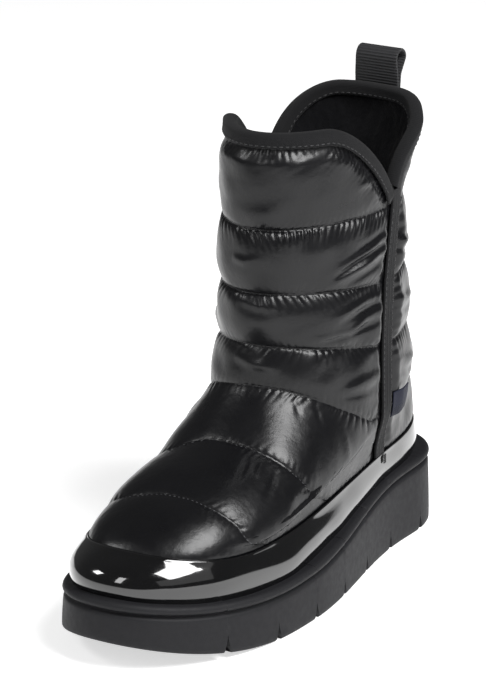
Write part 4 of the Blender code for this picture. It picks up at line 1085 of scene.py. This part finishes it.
stitches = {    # mm from stitch to stitch, mm of thread that shows, half its thickness
    "binding": {"pitch": 3.0, "length": 2.1, "radius": 0.27},
    "vamp": {"pitch": 2.4, "length": 1.6, "radius": 0.22},
    "quilting": {"pitch": 2.8, "length": 2.0, "radius": 0.24},
    "onSideTape": (3.7, 1.95), "onZipTape": (5.8, 1.42),    # mm from the tape's middle, mm off the leg
    "belowCollar": 4.6, "outsideCollar": 2.0, "insideCollar": -5.0, "onNylon": 0.12,
}
barTack = {"levels": (1.5, 1.88), "count": 5, "behindSeam": 4.6, "lift": 2.5, "length": 2.8, "radius": 0.42}


def tapeStitchLine(fromSeam, lift, outer=True, low=2.1, high=8.0):
    v = np.linspace(low, high, 700)
    u = uAtLength(seamS(v) - fromSeam, v, outer)
    return lifted(u, v, np.full(v.shape, lift)), legNormal(u, v)


def collarStitchLine(first, last, lift):
    u, v = inwardFrom(np.linspace(first, last, 900), stitches["belowCollar"])
    normal = legNormal(u, v)
    return lifted(u, v, np.full(u.shape, lift)), normal if lift > 0 else -normal


def quiltStitchLine(number, first, last):
    u = np.linspace(first, last, 1200)
    v = quiltLevel(number, (u + 0.5) % 1 - 0.5)
    keep = v > 2.04    # the rand covers the rest
    u, v = u[keep], v[keep]
    return lifted(u, v, np.full(u.shape, stitches["onNylon"])), legNormal(u, v)


def makeBarTack():
    # Short stack of threads on the rand, where the outer side tape runs into it.
    v = np.linspace(*barTack["levels"], barTack["count"])
    s = seamS(np.full(v.shape, 2.0)) - barTack["behindSeam"]
    u = uAtLength(s, v)
    across = unit(legSurface(uAtLength(s - 2, v), v) - legSurface(uAtLength(s + 2, v), v))
    spots = lifted(u, v, np.full(v.shape, barTack["lift"]))
    makeStitches("bar_tack", spots, across, legNormal(u, v), barTack["length"], barTack["radius"],
                 quiltThread, "knit_binding")


aside, lift = stitches["onSideTape"]
rows = [tapeStitchLine(side * aside, lift, outer) for outer in (True, False) for side in (1, -1)]
rows += [collarStitchLine(*ends, lift) for ends, lift in (
    ((-0.25, 0.25), stitches["outsideCollar"]), ((0.27, 0.73), stitches["outsideCollar"]),
    ((0.27, 0.73), stitches["insideCollar"]), ((-0.25, 0.25), stitches["insideCollar"]))]
sewLines("binding_stitches", rows, stitches["binding"], bindingThread, "knit_binding")
makeBarTack()
rows = [quiltStitchLine(number, -0.31, 0.31) for number in (1, 2)]
sewLines("vamp_stitches", rows, stitches["vamp"], vampThread, "quilted_nylon")
rows = [quiltStitchLine(number, *ends) for ends in ((-0.235, 0.235), (0.28, 0.69)) for number in (3, 4, 5, 6)]
sewLines("quilting_stitches", rows, stitches["quilting"], quiltThread, "quilted_nylon")
aside, lift = stitches["onZipTape"]
rows = [tapeStitchLine(zipTape["fromSeam"] + side * aside, lift, False, high=7.9) for side in (-1, 1)]
sewLines("zip_tape_stitches", rows, stitches["quilting"], quiltThread, "zip_tape")
print("tapes and stitches done")


# Pull loop, label, slider and its pull

loop = {
    "width": 25.0, "thick": 1.4, "top": 248.0, "eye": 8.0, "offCentre": 1.0,    # mm
    "foot": (205.0, 229.0), "offLeg": 2.55, "plyGap": 0.3,    # heights where it is sewn on, mm
    "narrowBy": 0.05, "narrowFrom": 232.0, "narrowOver": 12.0,
}
label = {
    "rows": 30, "columns": 40, "levels": (4.42, 5.22), "length": (73.0, 57.5),
    "offLeg": 1.9, "overPuff": 2.0, "risesOver": 9.0, "cloth": 0.55,    # mm
}


def makeLoop():
    # Webbing folded into a standing loop: one path up the outer side, over and down, its section a flat tape.
    thick = loop["thick"]
    backS = float(legSurface(0.5, collarV(0.5))[1])
    # at the back, level 8 lies 185 mm high and a level is 43 mm
    feet = [(z, float(legSurface(0.5, 8 + (z - 185) / 43)[1])) for z in np.linspace(*loop["foot"], 5)]
    first = -(loop["offLeg"] + thick / 2)
    second = first - thick - loop["plyGap"]
    radius = (loop["eye"] + thick) / 2
    top = loop["top"] - thick / 2 - radius
    middle = backS + first + 1.0 - radius
    arc = [(middle + radius * math.cos(a), top + radius * math.sin(a)) for a in np.linspace(0, math.pi, 13)]
    path = [(s + first, z) for z, s in feet] + arc + [(backS + second - 0.6, 235.0)]
    path = np.array(path + [(s + second, z) for z, s in reversed(feet)])
    run = runAlong(np.column_stack((path, np.zeros(len(path))))[None], axis=1)[0]
    at = np.linspace(0, run[-1], 200)
    line = np.stack([np.interp(at, run, path[:, i]) for i in (0, 1)], -1)
    kernel = np.array((1, 4, 6, 4, 1)) / 16
    for _ in range(3):
        line[2:-2] = np.stack([np.convolve(line[:, i], kernel, "valid") for i in (0, 1)], -1)
    slope = unit(np.gradient(line, axis=0))
    outward = np.stack((slope[:, 1], -slope[:, 0]), -1)
    section = stripSection(loop["width"] / 2, thick, 0.6, 15)
    across, height = section[:, 0], section[:, 1] - thick / 2
    narrow = 1 - loop["narrowBy"] * smooth((line[:, 1] - loop["narrowFrom"]) / loop["narrowOver"])
    x = across[None] * narrow[:, None] + loop["offCentre"]
    side = line[:, None] + outward[:, None] * height[None, :, None]
    points = np.concatenate((x[..., None], side), -1)
    uv = np.stack((at[:, None] + 0 * x, np.broadcast_to(across[None], x.shape)), -1)
    thing = addMesh("pull_loop_webbing", points, gridFaces(*x.shape, True), webbing, uv)
    closeEnds(thing)
    return finishPiece(thing, "webbing", "pull_loop")


def makeLabel():
    # Bare woven tab sewn in beside the outer tape: its cloth rises from the seam and rests on the puff.
    v = np.linspace(*label["levels"], label["rows"])[:, None]
    s = np.linspace(*label["length"], label["columns"])[None]
    fromSeam = label["length"][0] - s + 0 * v
    rise = label["offLeg"] + label["overPuff"] * smooth(fromSeam / label["risesOver"])
    points = lifted(uAtLength(s + 0 * v, v + 0 * s), v + 0 * s, rise)
    uv = np.stack((fromSeam, (v - label["levels"][0]) * 30 + 0 * s), -1)
    thing = addMesh("plain_side_label", points, gridFaces(*rise.shape), labelCloth, uv)
    shell = thing.modifiers.new("Cloth", "SOLIDIFY")
    shell.thickness = label["cloth"] * mm
    shell.offset = 1
    return finishPiece(thing, "woven_label", "side_label")

makeLoop()
makeLabel()
print("loop and label done")

floorSize = 9.0    # metres from the middle to each edge
corners = [(x * floorSize, y * floorSize, 0) for x, y in ((-1, -1), (1, -1), (1, 1), (-1, 1))]
floor = addMesh("floor", corners, [(0, 1, 2, 3)], floorMaterial(), inWorld=True)
for node in ("zip_slider", "zip_pull"):
    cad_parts[node].data.materials.clear()
    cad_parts[node].data.materials.append(metal)

# Camera and light

view = {
    "spot": (0.84381, -1.44873, 0.66067), "direction": (-0.50167, 0.80387, -0.31956), "lens": 178.5,
}
camera = bpy.data.cameras.new("camera")
camera.lens, camera.sensor_width = view["lens"], 36
cameraObject = bpy.data.objects.new("camera", camera)
cameraObject.location = view["spot"]
cameraObject.rotation_euler = Vector(view["direction"]).to_track_quat("-Z", "Y").to_euler()
bpy.context.scene.collection.objects.link(cameraObject)
bpy.context.scene.camera = cameraObject


softboxes = {    # place and aim in metres, width and height in metres, power in watts
    "softbox_overhead": ((0.98, -0.2, 1.35), (0, -0.08, 0.12), 0.75, 0.85, 33),
    "softbox_right": ((1.6, -0.5, 0.85), (0, -0.08, 0.12), 1.3, 0.8, 1.5),
    "softbox_front": ((-0.14, -1.8, 1.3), (0, -0.2, 0.08), 0.34, 1.0, 6),
    "softbox_left": ((-1.1, -0.85, 1.2), (0, -0.2, 0.08), 0.34, 0.34, 5),
}
for name, (spot, aim, width, height, power) in softboxes.items():
    lamp = bpy.data.lights.new(name, "AREA")
    lamp.shape, lamp.size, lamp.size_y, lamp.energy = "RECTANGLE", width, height, power
    box = bpy.data.objects.new(name, lamp)
    box.location = spot
    box.rotation_euler = (Vector(aim) - Vector(spot)).to_track_quat("-Z", "Y").to_euler()
    bpy.context.scene.collection.objects.link(box)
world = bpy.data.worlds.new("studio")
world.use_nodes = True
world.node_tree.nodes["Background"].inputs["Color"].default_value = linear("#ffffff")
world.node_tree.nodes["Background"].inputs["Strength"].default_value = 0.1
bpy.context.scene.world = world
bpy.context.scene.view_settings.view_transform = "Standard"
print("camera and light done")
